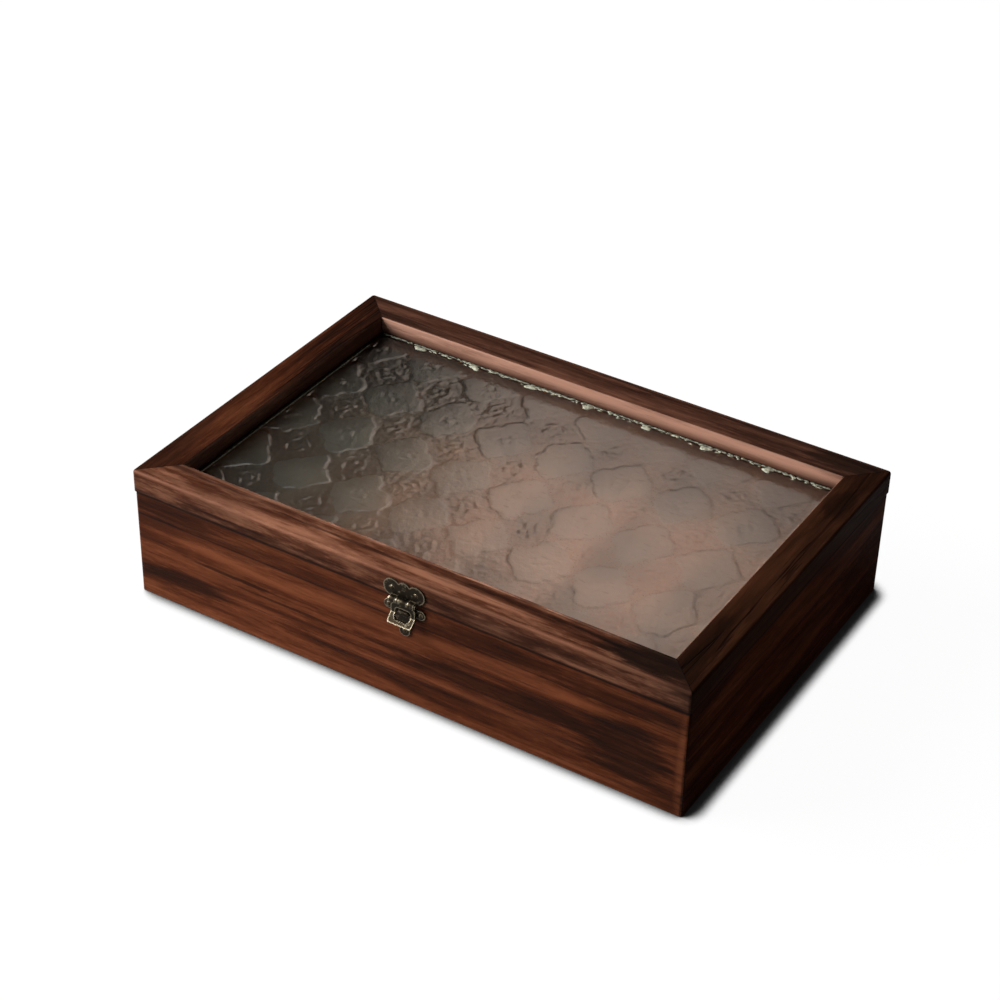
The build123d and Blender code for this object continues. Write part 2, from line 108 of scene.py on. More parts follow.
class Recipe:
    """A node tree that is written with one short call for each node."""

    def __init__(self, owner: bpy.types.Material | bpy.types.World) -> None:
        """Empties the owner's node tree.

        Args:
            owner: The material or world that the tree belongs to.
        """
        owner.use_nodes = True
        self.tree = owner.node_tree
        self.tree.nodes.clear()

    def put(self, socket: Socket, value: object) -> None:
        """Links another node's output to an input, or sets a plain value on it.

        Args:
            socket: The input.
            value: An output socket, or a number, vector or colour.
        """
        if isinstance(value, Socket):
            self.tree.links.new(value, socket)
        else:
            socket.default_value = value

    def node(self, kind: str, inputs: dict | None = None, **settings: object) -> bpy.types.Node:
        """Adds a node.

        Args:
            kind: The node's type name.
            inputs: Values or outputs for its inputs, by name or number.
            **settings: The node's own properties.

        Returns:
            The node.
        """
        made = self.tree.nodes.new(kind)
        for name, setting in settings.items():
            setattr(made, name, setting)
        for key, value in (inputs or {}).items():
            self.put(made.inputs[key], value)
        return made

    def place(self) -> Socket:
        """Gives the point on the piece at rest, in metres."""
        return self.node("ShaderNodeTexCoord").outputs["Object"]

    def split(self, vector: Socket) -> Sequence[Socket]:
        """Gives a vector's three parts."""
        return self.node("ShaderNodeSeparateXYZ", {0: vector}).outputs

    def join(self, x: Value, y: Value, z: Value) -> Socket:
        """Makes a vector of three parts."""
        return self.node("ShaderNodeCombineXYZ", {0: x, 1: y, 2: z}).outputs[0]

    def stretch(self, vector: Socket, by: Triple, shift: Triple = (0, 0, 0)) -> Socket:
        """Multiplies a vector part by part, then adds a shift."""
        inputs = {0: vector, 1: by, 2: shift}
        return self.node("ShaderNodeVectorMath", inputs, operation="MULTIPLY_ADD").outputs[0]

    def math(self, operation: str, first: Value, second: Value = 0.0, third: Value = 0.0) -> Socket:
        """Works out one step of arithmetic."""
        inputs = {0: first, 1: second, 2: third}
        return self.node("ShaderNodeMath", inputs, operation=operation).outputs[0]

    def times(self, first: Value, second: Value) -> Socket:
        """Multiplies two numbers."""
        return self.math("MULTIPLY", first, second)

    def greater(self, first: Value, second: Value) -> Socket:
        """Gives the greater of two numbers."""
        return self.math("MAXIMUM", first, second)

    def apart(self, first: Value, second: Value) -> Socket:
        """Gives how far two numbers are apart."""
        return self.math("ABSOLUTE", self.math("SUBTRACT", first, second))

    def length(self, vector: Socket) -> Socket:
        """Gives a vector's length."""
        return self.node("ShaderNodeVectorMath", {0: vector}, operation="LENGTH").outputs[1]

    def total(self, *terms: tuple[Value, float]) -> Value:
        """Adds up terms.

        Args:
            *terms: Each term and the weight that multiplies it.

        Returns:
            The sum.
        """
        result: Value = 0.0
        for value, weight in terms:
            result = self.math("MULTIPLY_ADD", value, weight, result)
        return result

    def ease(self, value: Value, start: float, end: float, low: Value = 0.0, high: Value = 1.0) -> Socket:
        """Goes smoothly from low to high as a value goes from start to end."""
        inputs = {"Value": value, "From Min": start, "From Max": end, "To Min": low, "To Max": high}
        return self.node("ShaderNodeMapRange", inputs, interpolation_type="SMOOTHSTEP").outputs[0]

    def noise(self, vector: Socket, detail: float = 2.0, roughness: float = 0.5) -> Socket:
        """Gives cloudy noise about 0.5, one cloud to a unit of the vector."""
        inputs = {"Vector": vector, "Scale": 1.0, "Detail": detail, "Roughness": roughness}
        return self.node("ShaderNodeTexNoise", inputs).outputs[0]

    def clouds(self, place: Socket, cloud: Cloud) -> Socket:
        """Gives a finish's cloudy noise at a place in metres."""
        return self.noise(self.stretch(place, cloud.per_metre, cloud.shift), cloud.detail, cloud.roughness)

    def ramp(self, value: Value, *stops: tuple[float, Colour]) -> Socket:
        """Runs through colours as a value goes from 0 to 1.

        Args:
            value: The value.
            *stops: Places from 0 to 1 and the colour at each.

        Returns:
            The colour.
        """
        node = self.node("ShaderNodeValToRGB", {0: value})
        elements = node.color_ramp.elements
        while len(elements) < len(stops):
            elements.new(1.0)
        for element, (position, colour) in zip(elements, stops):
            element.position = position
            element.color = colour
        return node.outputs[0]

    def mix(self, share: Value, first: object, second: object, blend: str = "MIX") -> Socket:
        """Mixes two colours."""
        inputs = {0: share, 6: first, 7: second}
        return self.node("ShaderNodeMix", inputs, data_type="RGBA", blend_type=blend).outputs[2]

    def tinted(self, colour: object, by: object) -> Socket:
        """Multiplies one colour by another."""
        return self.mix(1.0, colour, by, blend="MULTIPLY")

    def bump(self, height: Value, depth: float, strength: float = 1.0) -> Socket:
        """Turns heights from 0 to 1 into a normal, for a relief of that depth in metres."""
        inputs = {"Height": height, "Distance": depth, "Strength": strength}
        return self.node("ShaderNodeBump", inputs).outputs[0]

    def surface(self, inputs: dict) -> Socket:
        """Gives the usual surface shader with these inputs."""
        return self.node("ShaderNodeBsdfPrincipled", inputs).outputs[0]

    def end(self, shader: Socket, kind: str = "ShaderNodeOutputMaterial") -> None:
        """Leads the shader to the tree's output."""
        self.node(kind, {"Surface": shader})


def new_recipe(name: str) -> tuple[bpy.types.Material, Recipe]:
    """Makes a material and the recipe for its nodes."""
    material = bpy.data.materials.new(name)
    return material, Recipe(material)


@dataclass(frozen=True)
class Finish:
    """A finish of some of the pieces, under the name of its material."""

    name: str

    def shader(self, r: Recipe) -> Socket:
        """Gives the finish's shader.

        Args:
            r: The material's recipe.

        Returns:
            The shader.
        """
        raise NotImplementedError

    def material(self) -> bpy.types.Material:
        """Writes the material."""
        material, r = new_recipe(self.name)
        r.end(self.shader(r))
        return material


class Grain(Enum):
    """Which way the grain of a board runs."""

    ALONG_X = "x"
    ALONG_Y = "y"


@dataclass(frozen=True)
class Mark:
    """A patch on a board that is scorched darker or made paler; most pale patches are worn wood, and a few
    are painted highlights where an edge caught the light.
    """

    strength: float  # from 0 to 1 for a scorched patch, and from -1 to 0 for a pale one
    centre: Triple  # millimetres
    reach: Triple  # millimetres from the centre to where the patch has faded, along X, Y and Z


@dataclass(frozen=True)
class TorchedWood(Finish):
    """A softwood board that was scorched with a torch, brushed and oiled."""

    grain: Grain
    seed: float
    pith: Pair  # the tree's heart, across the board and in height
    corner_offset: float  # half the length less half the depth of the box
    tone_and_shading: float = 1.0  # share of light that the board gives back, beside the others: partly the board's own tone, partly painted light and shade
    scorch: Pair = (0.4, 0.4)  # at the end towards -X or -Y, and at the other
    scorch_reach: float = 45 * MM
    scorch_tear: float = 40 * MM  # how ragged the scorched ends' outlines are
    patches: float = 0.5
    marks: tuple[Mark, ...] = ()
    mark_tear: float = 0.9  # how ragged the marks' outlines are, as a share of their reach
    window: float | None = None  # centre line of the box to the rail's inner face
    rubbed: float = 0.85  # how bare the rail's inner face is
    rub_width: float = 0.3 * MM  # how far the bare wood reaches onto the rail's top: partly worn wood, partly a painted highlight on the inner arris
    rub_blend: float = 0.3 * MM
    rub_depth: Pair = (3.6 * MM, 9.8 * MM)  # below the rail's top: where the bare wood fades, and ends
    depth_tear: float = 4.0 * MM  # how ragged that line is
    painted_corner_shade: float = 0.15  # painted shade: how dark the rail's inner face is made in the corner by the glass
    painted_shade_depth: Pair = (6.6 * MM, 8.8 * MM)  # below the rail's top: where the painted shade starts, and is full
    edge_highlight_reach: Pair = (0.2 * MM, 2.0 * MM)  # from the rail's outer edge: where its painted highlight fades, and ends
    edge_tear: float = 5.0 * MM
    # Painted highlight along the rail's upper outer edges, where the arris caught the light.
    edge_highlight_share: float = 0.45
    mitre_line: Pair = (0.15 * MM, 0.5 * MM)  # where the dark line along the mitre fades, and ends
    seam: float = 58.15 * MM  # height of the joint between case and lid
    seam_line: Pair = (0.4 * MM, 1.5 * MM)
    top: float = 70 * MM
    half: float = 100.5 * MM  # centre line of the box to the rail's outer face
    ring_width: float = 5.2 * MM
    ring_darkness: float = 0.6
    gloss: float = 0.05
    relief: float = 0.5 * MM  # depth of the brushed grain
    glue_joint: float | None = None  # height of the joint where a board is made of two
    glue_line: Pair = (0.1 * MM, 0.7 * MM)
    above_joint: float = 0.80  # share of light that the upper board gives back, beside the lower
    wander: Cloud = Cloud((4, 14, 14))  # bends the growth rings
    ripple: Cloud = Cloud((22, 80, 80))  # roughens them
    streak: Cloud = Cloud((14, 165, 165), 5.0, 0.66)
    fibre: Cloud = Cloud((150, 1500, 1500))
    broad: Cloud = Cloud((2.4, 60, 60))
    vein: Cloud = Cloud((5, 120, 120), 3.0, shift=(9, 2, 6))  # fine dark lines along the grain
    fleck: Cloud = Cloud((150, 750, 750), shift=(1, 8, 3))
    patch: Cloud = Cloud((8, 48, 48), 3.0, 0.6, (3, 5, 7))
    char: Colour = screen_colour(18, 10, 7)
    dark: Colour = screen_colour(42, 19, 9)
    middle: Colour = screen_colour(85, 41, 21)
    light: Colour = screen_colour(138, 78, 50)
    bare: Colour = screen_colour(230, 177, 153)

    def shader(self, r: Recipe) -> Socket:
        """Gives the board's shader.

        Args:
            r: The material's recipe.

        Returns:
            The shader.
        """
        spot = r.place()
        x, y, z = r.split(spot)
        along, across = (x, y) if self.grain is Grain.ALONG_X else (y, x)
        shift = (self.seed, 1.7 * self.seed, 2.3 * self.seed)
        place = r.stretch(r.join(along, across, z), (1, 1, 1), shift)

        # The grain.
        kinds = (self.streak, self.fibre, self.broad, self.fleck)
        streak, fibre, broad, fleck = (r.clouds(place, kind) for kind in kinds)
        late = self.late_wood(r, place, along, across, z)
        line = r.ease(r.apart(r.clouds(place, self.vein), 0.5), 0.028, 0.006)
        line = r.times(line, r.ease(broad, 0.6, 0.42))

        # What the torch burnt: the marks, the ends and some patches, torn along the grain.
        ragged = r.total((streak, 1.5), (broad, 1.2), (fibre, 0.3), (1.0, -1.5))
        burnt, pale = self.patch_amounts(r, spot, ragged)
        off_centre = r.math("SUBTRACT", r.math("ABSOLUTE", x), r.math("ABSOLUTE", y))
        mitre = r.apart(off_centre, self.corner_offset)
        ends = self.scorched_ends(r, along, mitre, ragged)
        patch = r.total((r.clouds(place, self.patch), 1.0), (streak, 0.25), (1.0, -0.125))
        patch = r.ease(patch, 0.5, 0.68, 0.0, self.patches)
        burnt = r.greater(burnt, r.greater(ends, patch))

        # The colour, from the clean grain to what is burnt, worn or in a joint.
        tint = r.total((streak, 2.3), (broad, 1.2), (fibre, 0.5), (pale, 0.5), (1.0, -1.52))
        colour = r.ramp(tint, (0.0, self.dark), (0.45, self.middle), (1.0, self.light))
        flecks = r.times(r.ease(fleck, 0.6, 0.72, 0.0, 0.5), r.ease(tint, 0.3, 0.7))
        colour = r.mix(flecks, colour, self.light)
        colour = r.mix(r.times(late, self.ring_darkness), colour, self.dark)
        colour = r.mix(r.times(line, self.ring_darkness), colour, self.char)
        colour = r.mix(burnt, colour, self.char)
        if self.window is not None:
            colour = self.worn_edges(r, colour, across, z, ends, ragged)
        by_mitre = r.ease(mitre, self.mitre_line[1], self.mitre_line[0], 0.0, 0.8)
        by_seam = r.ease(r.apart(z, self.seam), self.seam_line[1], self.seam_line[0], 0.0, 0.85)
        colour = r.mix(r.greater(by_mitre, by_seam), colour, self.char)
        if self.glue_joint is not None:
            colour = self.upper_board(r, colour, z, ragged)
        tone_and_shading = tuple(self.tone_and_shading * level for level in (1.0, 0.98, 0.96)) + (1.0,)

        relief = r.total(
            (late, -0.3), (streak, 0.9), (fibre, 0.22), (line, -0.45), (burnt, -0.2), (fleck, 0.15))
        inputs = {
            "Base Color": r.tinted(colour, tone_and_shading),
            "Roughness": r.total((burnt, 0.2), (streak, 0.2), (1.0, 0.38)),
            "Specular IOR Level": self.gloss,
            "Normal": r.bump(relief, self.relief, 0.9),
        }
        return r.surface(inputs)

    def late_wood(self, r: Recipe, place: Socket, along: Socket, across: Socket, z: Socket) -> Socket:
        """Draws the growth rings about the tree's heart.

        Args:
            r: The material's recipe.
            place: The point, along the grain, across it and in height, shifted by the board's seed.
            along: The point's place along the grain.
            across: Its place across the board.
            z: Its height.

        Returns:
            How much of a ring's dark late wood the point is.
        """
        side = r.math("SUBTRACT", across, self.pith[0])
        rise = r.math("SUBTRACT", z, self.pith[1])
        radius = r.length(r.join(0.0, side, rise))
        wander, ripple = r.clouds(place, self.wander), r.clouds(place, self.ripple)
        rings = r.total((radius, 1 / self.ring_width), (wander, 7.0), (ripple, 1.1))
        stops = ((0.0, grey(0.05)), (0.5, grey(0.1)), (0.84, grey(1.0)), (1.0, grey(0.05)))
        late = r.ramp(r.math("FRACT", rings), *stops)
        which = r.join(r.times(rings, 0.45), self.seed, r.times(along, 3.0))
        return r.times(late, r.ease(r.noise(which), 0.38, 0.66))

    def scorched_ends(self, r: Recipe, along: Socket, mitre: Socket, ragged: Socket) -> Socket:
        """Works out how scorched a point is by the board's ends.

        Args:
            r: The material's recipe.
            along: The point's place along the grain.
            mitre: How far it is from the mitre at the nearer end.
            ragged: What tears outlines along the grain, about 0.

        Returns:
            How scorched it is, from 0 to 1.
        """
        near_end = r.total((mitre, 1.0), (ragged, self.scorch_tear))
        amount = r.ease(along, -20 * MM, 20 * MM, *self.scorch)
        return r.times(r.ease(near_end, self.scorch_reach, 0.0), amount)

    def upper_board(self, r: Recipe, colour: Socket, z: Socket, ragged: Socket) -> Socket:
        """Darkens the board above its glue joint, and draws the joint's fine dark line.

        Args:
            r: The material's recipe.
            colour: The board's colour so far.
            z: The point's height.
            ragged: What varies along the grain, about 0.

        Returns:
            The board's colour.
        """
        above = r.math("SUBTRACT", z, self.glue_joint)
        line = r.ease(r.math("ABSOLUTE", above), self.glue_line[1], self.glue_line[0], 0.0, 0.7)
        line = r.times(line, r.ease(ragged, 0.5, -0.3, 0.4, 1.0))
        share = r.ease(above, -0.3 * MM, 0.5 * MM, 1.0, self.above_joint)
        colour = r.mix(line, colour, self.char)
        return r.tinted(colour, r.join(share, share, share))

    def patch_amounts(self, r: Recipe, spot: Socket, ragged: Socket) -> tuple[Value, Value]:
        """Works out how scorched and how pale a point is by the marks on the board.

        Args:
            r: The material's recipe.
            spot: The point.
            ragged: What tears the marks' outlines along the grain, about 0.

        Returns:
            The scorched share and the pale share, from 0 to 1.
        """
        amounts: dict[bool, Value] = {True: 0.0, False: 0.0}
        for mark in self.marks:
            scale = tuple(1 / (reach * MM) for reach in mark.reach)
            shift = tuple(-middle / reach for middle, reach in zip(mark.centre, mark.reach))
            distance = r.length(r.stretch(spot, scale, shift))
            torn = r.total((distance, 1.0), (ragged, self.mark_tear))
            share = r.ease(torn, 1.1, 0.5, 0.0, abs(mark.strength))
            dark = mark.strength > 0
            amounts[dark] = r.greater(amounts[dark], share)
        return amounts[True], amounts[False]

    def worn_edges(
        self, r: Recipe, colour: Socket, across: Socket, z: Socket, ends: Socket, ragged: Socket
    ) -> Socket:
        """Rubs a rail bare by the glass, paints shade in the corner where its inner face meets the glass,
        and paints a highlight along its upper outer edges.

        Args:
            r: The material's recipe.
            colour: The rail's colour so far.
            across: The point's place across the rail.
            z: The point's height.
            ends: How scorched the rail's ends are.
            ragged: What tears outlines along the grain, about 0.

        Returns:
            The rail's colour.
        """
        away = r.math("ABSOLUTE", across)
        down = r.math("SUBTRACT", self.top, z)
        kept = r.ease(ends, 0.2, 0.9, 1.0, 0.2)
        inward = r.total((away, 1.0), (1.0, -self.window), (ragged, self.rub_width))
        face = r.ease(inward, self.rub_width + self.rub_blend, self.rub_width - self.rub_blend)
        depth = r.total((down, 1.0), (ragged, self.depth_tear))

        inner = r.times(face, r.ease(depth, self.rub_depth[1], self.rub_depth[0], 0.0, self.rubbed))
        inner = r.times(inner, r.ease(ragged, -0.4, 0.15, 0.65, 1.0))
        upright = r.ease(r.math("SUBTRACT", away, self.window), 0.55 * MM, 0.25 * MM)
        inner = r.times(inner, r.greater(upright, r.ease(ragged, -0.1, 0.3, 0.15, 0.8)))
        bare = r.mix(r.ease(ragged, 0.3, -0.35, 0.0, 0.75), self.bare, self.light)
        colour = r.mix(r.times(inner, kept), colour, bare)

        # Painted shade in the corner where the rail's inner face meets the glass.
        grime = r.times(face, r.ease(depth, *self.painted_shade_depth, 0.0, self.painted_corner_shade))
        colour = r.mix(grime, colour, self.char)

        # Painted highlight along the rail's upper outer edges, where the arris caught the light.
        outward = r.greater(down, r.math("SUBTRACT", self.half, away))
        outward = r.total((outward, 1.0), (ragged, self.edge_tear))
        outer = r.ease(outward, self.edge_highlight_reach[1], self.edge_highlight_reach[0], 0.0, self.edge_highlight_share)
        return r.mix(r.times(outer, kept), colour, self.light)


@dataclass(frozen=True)
class StainedWood(Finish):
    """Plain stained wood of the pieces that hold the glass and close the underside."""

    grain: Grain
    streak: Cloud = Cloud((9, 210, 210), 4.0, 0.6)
    fibre: Cloud = Cloud((70, 2200, 2200))
    relief: float = 0.15 * MM
    dark: Colour = screen_colour(44, 26, 19)
    light: Colour = screen_colour(92, 58, 42)

    def shader(self, r: Recipe) -> Socket:
        """Gives the wood's shader.

        Args:
            r: The material's recipe.

        Returns:
            The shader.
        """
        x, y, z = r.split(r.place())
        place = r.join(x, y, z) if self.grain is Grain.ALONG_X else r.join(y, x, z)
        streak, fibre = r.clouds(place, self.streak), r.clouds(place, self.fibre)
        tint = r.total((streak, 1.5), (fibre, 0.5), (1.0, -0.5))
        relief = r.total((streak, 0.6), (fibre, 0.4))
        inputs = {
            "Base Color": r.ramp(tint, (0.0, self.dark), (1.0, self.light)),
            "Roughness": r.ease(streak, 0.3, 0.7, 0.5, 0.7),
            "Specular IOR Level": 0.3,
            "Normal": r.bump(relief, self.relief),
        }
        return r.surface(inputs)


@dataclass(frozen=True)
class RolledGlass(Finish):
    """Old patterned glass, which scatters what lies under it and holds grime in its hollows; its colour
    also carries painted shade towards its ends and back.
    """

    clear: Colour = (0.97, 0.95, 0.92, 1.0)
    grime: Colour = (0.30, 0.23, 0.18, 1.0)
    hollow: Colour = (0.62, 0.53, 0.46, 1.0)  # between the flowers
    rose: Colour = (1.0, 0.74, 0.64, 1.0)
    shade: Colour = (0.33, 0.33, 0.325, 1.0)  # light that a lamp sends straight through
    painted_shade_left: Colour = (0.60, 0.68, 0.67, 1.0)  # painted shade: colour let through at the left end, beside the clear part
    painted_shade_back: float = 0.60  # painted shade along the back
    painted_shade_right: float = 0.9  # painted shade at the right end
    left_fade: Pair = (-92 * MM, -12 * MM)  # from the painted shade at the left end to the clear part
    back_fade: Pair = (5 * MM, 70 * MM)  # from the clear part to the back
    right_fade: Pair = (60 * MM, 130 * MM)  # and to the right end
    hollow_fade: Pair = (-70 * MM, 10 * MM)  # where the ground between the flowers turns paler
    grit: Cloud = Cloud((1100, 1100, 1100), 3.0, 0.6)
    waves: Cloud = Cloud((260, 260, 260), 3.0, 0.6)
    stroke: Cloud = Cloud((170, 520, 520), 3.0, shift=(2, 9, 4))  # smears of grime along the pane
    blush: Cloud = Cloud((360, 430, 430), 4.0, 0.65, (5, 3, 1))  # where the clear glass turns rosy
    dirtiness: float = 0.7
    blur: Pair = (0.05, 0.85)  # roughness at the plain edge and in the flowers
    ior: float = 1.22
    relief: float = 0.12 * MM
    skin_ior: float = 1.5  # the skin is the polished surface that mirrors
    skin_roughness: float = 0.07
    skin_relief: float = 0.08 * MM

    def shader(self, r: Recipe) -> Socket:
        """Gives the glass's shader. The mesh says where it blurs and where grime lies.

        Args:
            r: The material's recipe.

        Returns:
            The shader.
        """
        frost, crack, speckled = (
            r.node("ShaderNodeAttribute", attribute_name=name).outputs["Fac"]
            for name in ("frost", "crack", "speckled"))
        place = r.place()
        kinds = (self.grit, self.waves, self.stroke)
        grit, waves, stroke = (r.clouds(place, kind) for kind in kinds)
        specks = r.times(r.ease(grit, 0.56, 0.66, 0.0, 0.8), speckled)
        lines = r.ease(r.total((crack, 1.0), (waves, 0.7), (1.0, -0.35)), 0.35, 0.95)
        dirt = r.greater(r.greater(specks, lines), r.ease(stroke, 0.6, 0.72, 0.0, 0.45))
        relief = r.total((grit, 0.35), (waves, 1.0))
        inputs = {
            "Base Color": r.mix(r.times(dirt, self.dirtiness), self.clean(r, place, frost), self.grime),
            "Transmission Weight": 1.0,
            "IOR": self.ior,
            "Specular IOR Level": 0.0,
            "Roughness": r.ease(frost, 0.0, 1.0, *self.blur),
            "Coat Weight": 1.0,
            "Coat Roughness": self.skin_roughness,
            "Coat IOR": self.skin_ior,
            "Coat Tint": self.clear,
            "Normal": r.bump(relief, self.relief),
            "Coat Normal": r.bump(relief, self.skin_relief),
        }
        glass = r.surface(inputs)
        open_glass = r.node("ShaderNodeBsdfTransparent", {0: self.shade}).outputs[0]
        to_lamp = r.node("ShaderNodeLightPath").outputs["Is Shadow Ray"]
        return r.node("ShaderNodeMixShader", {0: to_lamp, 1: glass, 2: open_glass}).outputs[0]

    def clean(self, r: Recipe, place: Socket, frost: Socket) -> Socket:
        """Works out the glass's colour without its grime, with painted shade towards its ends and back.

        Args:
            r: The material's recipe.
            place: The point.
            frost: How much the glass blurs there, most in the flowers.

        Returns:
            The colour, with painted shade that darkens it towards the pane's left end, right end and back.
        """
        x, y, _ = r.split(place)
        between = r.ease(frost, 0.97, 0.78)
        ground = r.times(between, r.ease(x, *self.hollow_fade, 1.0, 0.15))
        blush = r.clouds(place, self.blush)
        rosy = r.times(r.ease(blush, 0.46, 0.62, 0.3, 0.65), r.ease(between, 0.0, 1.0, 0.2, 0.8))
        colour = r.mix(rosy, r.mix(ground, self.clear, self.hollow), self.rose)
        # Painted shade: the glass is made darker towards its right end, its back and its left end.
        front = r.ease(x, *self.right_fade, 1.0, self.painted_shade_right)
        back = r.ease(y, *self.back_fade, front, self.painted_shade_back)
        painted_shade = r.mix(r.ease(x, *self.left_fade), self.painted_shade_left, grey(1.0))
        return r.tinted(colour, r.tinted(painted_shade, r.join(back, back, back)))


@dataclass(frozen=True)
class OldBronze(Finish):
    """Bronzed brass, dark in the hollows and rubbed bright on the edges."""

    dark: Colour = screen_colour(40, 33, 25)
    rubbed: Colour = screen_colour(158, 147, 124)
    edge_radius: float = 1.3 * MM
    rub: float = 1.0
    cloud: Cloud = Cloud((420, 420, 420), 3.0, 0.6)
    grit: Cloud = Cloud((2600, 2600, 2600))
    relief: float = 0.05 * MM

    def shader(self, r: Recipe) -> Socket:
        """Gives the metal's shader.

        Args:
            r: The material's recipe.

        Returns:
            The shader.
        """
        place = r.place()
        cloud, grit = r.clouds(place, self.cloud), r.clouds(place, self.grit)
        rounded = r.node("ShaderNodeBevel", {"Radius": self.edge_radius}, samples=6).outputs[0]
        true = r.node("ShaderNodeNewGeometry").outputs["Normal"]
        both = {0: rounded, 1: true}
        turn = r.node("ShaderNodeVectorMath", both, operation="DOT_PRODUCT").outputs["Value"]
        edge = r.ease(r.total((turn, 1.0), (cloud, 0.12), (1.0, -0.06)), 0.97, 0.80)
        worn = r.greater(r.times(edge, self.rub), r.ease(cloud, 0.55, 0.75, 0.0, 0.45))
        inputs = {
            "Base Color": r.mix(worn, self.dark, self.rubbed),
            "Metallic": 1.0,
            "Roughness": r.total((cloud, 0.3), (worn, -0.14), (1.0, 0.3)),
            "Normal": r.bump(r.total((grit, 0.4), (cloud, 0.6)), self.relief),
        }
        return r.surface(inputs)


@dataclass(frozen=True)
class Velvet(Finish):
    """Short cotton velvet, with the nap brushed this way and that."""

    deep: Colour
    pale: Colour
    nap: Cloud = Cloud((60, 90, 60), 3.0, 0.6)  # where the pile is brushed one way or the other
    pile: Cloud = Cloud((1900, 1900, 1900))
    relief: float = 0.25 * MM

    def shader(self, r: Recipe) -> Socket:
        """Gives the velvet's shader.

        Args:
            r: The material's recipe.

        Returns:
            The shader.
        """
        place = r.place()
        nap, pile = r.clouds(place, self.nap), r.clouds(place, self.pile)
        tint = r.total((nap, 1.3), (pile, 0.5), (1.0, -0.4))
        inputs = {
            "Base Color": r.ramp(tint, (0.1, self.deep), (0.9, self.pale)),
            "Roughness": r.ease(nap, 0.3, 0.7, 0.82, 0.95),
            "Specular IOR Level": 0.15,
            "Sheen Weight": 0.5,
            "Sheen Roughness": 0.4,
            "Sheen Tint": self.pale,
            "Normal": r.bump(r.total((pile, 0.7), (nap, 0.5)), self.relief),
        }
        return r.surface(inputs)


def assign(piece: bpy.types.Object, material: bpy.types.Material) -> None:
    """Gives a piece one material in place of those it has."""
    piece.data.materials.clear()
    piece.data.materials.append(material)


def soften_edges(piece: bpy.types.Object, width: float, segments: int = 2) -> None:
    """Breaks a rigid piece's sharp edges with a small round, as a modifier.

    Args:
        piece: The mesh object.
        width: Width of the round in metres.
        segments: Flats that the round is made of.
    """
    weld = piece.modifiers.new("weld", "WELD")
    weld.merge_threshold = SAME_POINT
    bevel = piece.modifiers.new("round", "BEVEL")
    bevel.width = width
    bevel.segments = segments
    bevel.limit_method = "ANGLE"
    bevel.angle_limit = SHARP
    bevel.harden_normals = True


def mesh_object(name: str, mesh: bpy.types.Mesh) -> bpy.types.Object:
    """Links a new object for a mesh into the scene."""
    made = bpy.data.objects.new(name, mesh)
    bpy.context.scene.collection.objects.link(made)
    return made


def mesh_from(
    name: str, points: np.ndarray, faces: Sequence[Sequence[int]], smooth: bool = True
) -> bpy.types.Mesh:
    """Makes a mesh of points and faces.

    Args:
        name: The mesh's name.
        points: An array of points, one row each.
        faces: Corner numbers of each face.
        smooth: Whether faces are shaded smooth.

    Returns:
        The mesh.
    """
    mesh = bpy.data.meshes.new(name)
    mesh.from_pydata(points.tolist(), [], [list(face) for face in faces])
    mesh.polygons.foreach_set("use_smooth", [smooth] * len(mesh.polygons))
    mesh.update()
    return mesh


def flat_sheet(name: str, width: float, depth: float, height: float = 0.0) -> bpy.types.Object:
    """Makes a flat rectangle about its own origin.

    Args:
        name: The object's name.
        width: Its length along X.
        depth: Its length along Y.
        height: Its height.

    Returns:
        The object.
    """
    x, y = width / 2, depth / 2
    corners = np.array([(-x, -y, height), (x, -y, height), (x, y, height), (-x, y, height)])
    return mesh_object(name, mesh_from(name, corners, [(0, 1, 2, 3)], smooth=False))


def mesh_points(mesh: bpy.types.Mesh) -> np.ndarray:
    """Gives a mesh's points, one row each."""
    flat = np.empty(3 * len(mesh.vertices))
    mesh.vertices.foreach_get("co", flat)
    return flat.reshape(-1, 3)


def evaluated_mesh(piece: bpy.types.Object) -> bpy.types.Mesh:
    """Gives a copy of a piece's mesh as its modifiers make it."""
    graph = bpy.context.evaluated_depsgraph_get()
    return bpy.data.meshes.new_from_object(piece.evaluated_get(graph))


def half_window() -> Pair:
    """Gives half the length and half the depth of the opening between the lid's rails."""
    return -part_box("lid_left_rail")[1].x, -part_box("lid_front_rail")[1].y


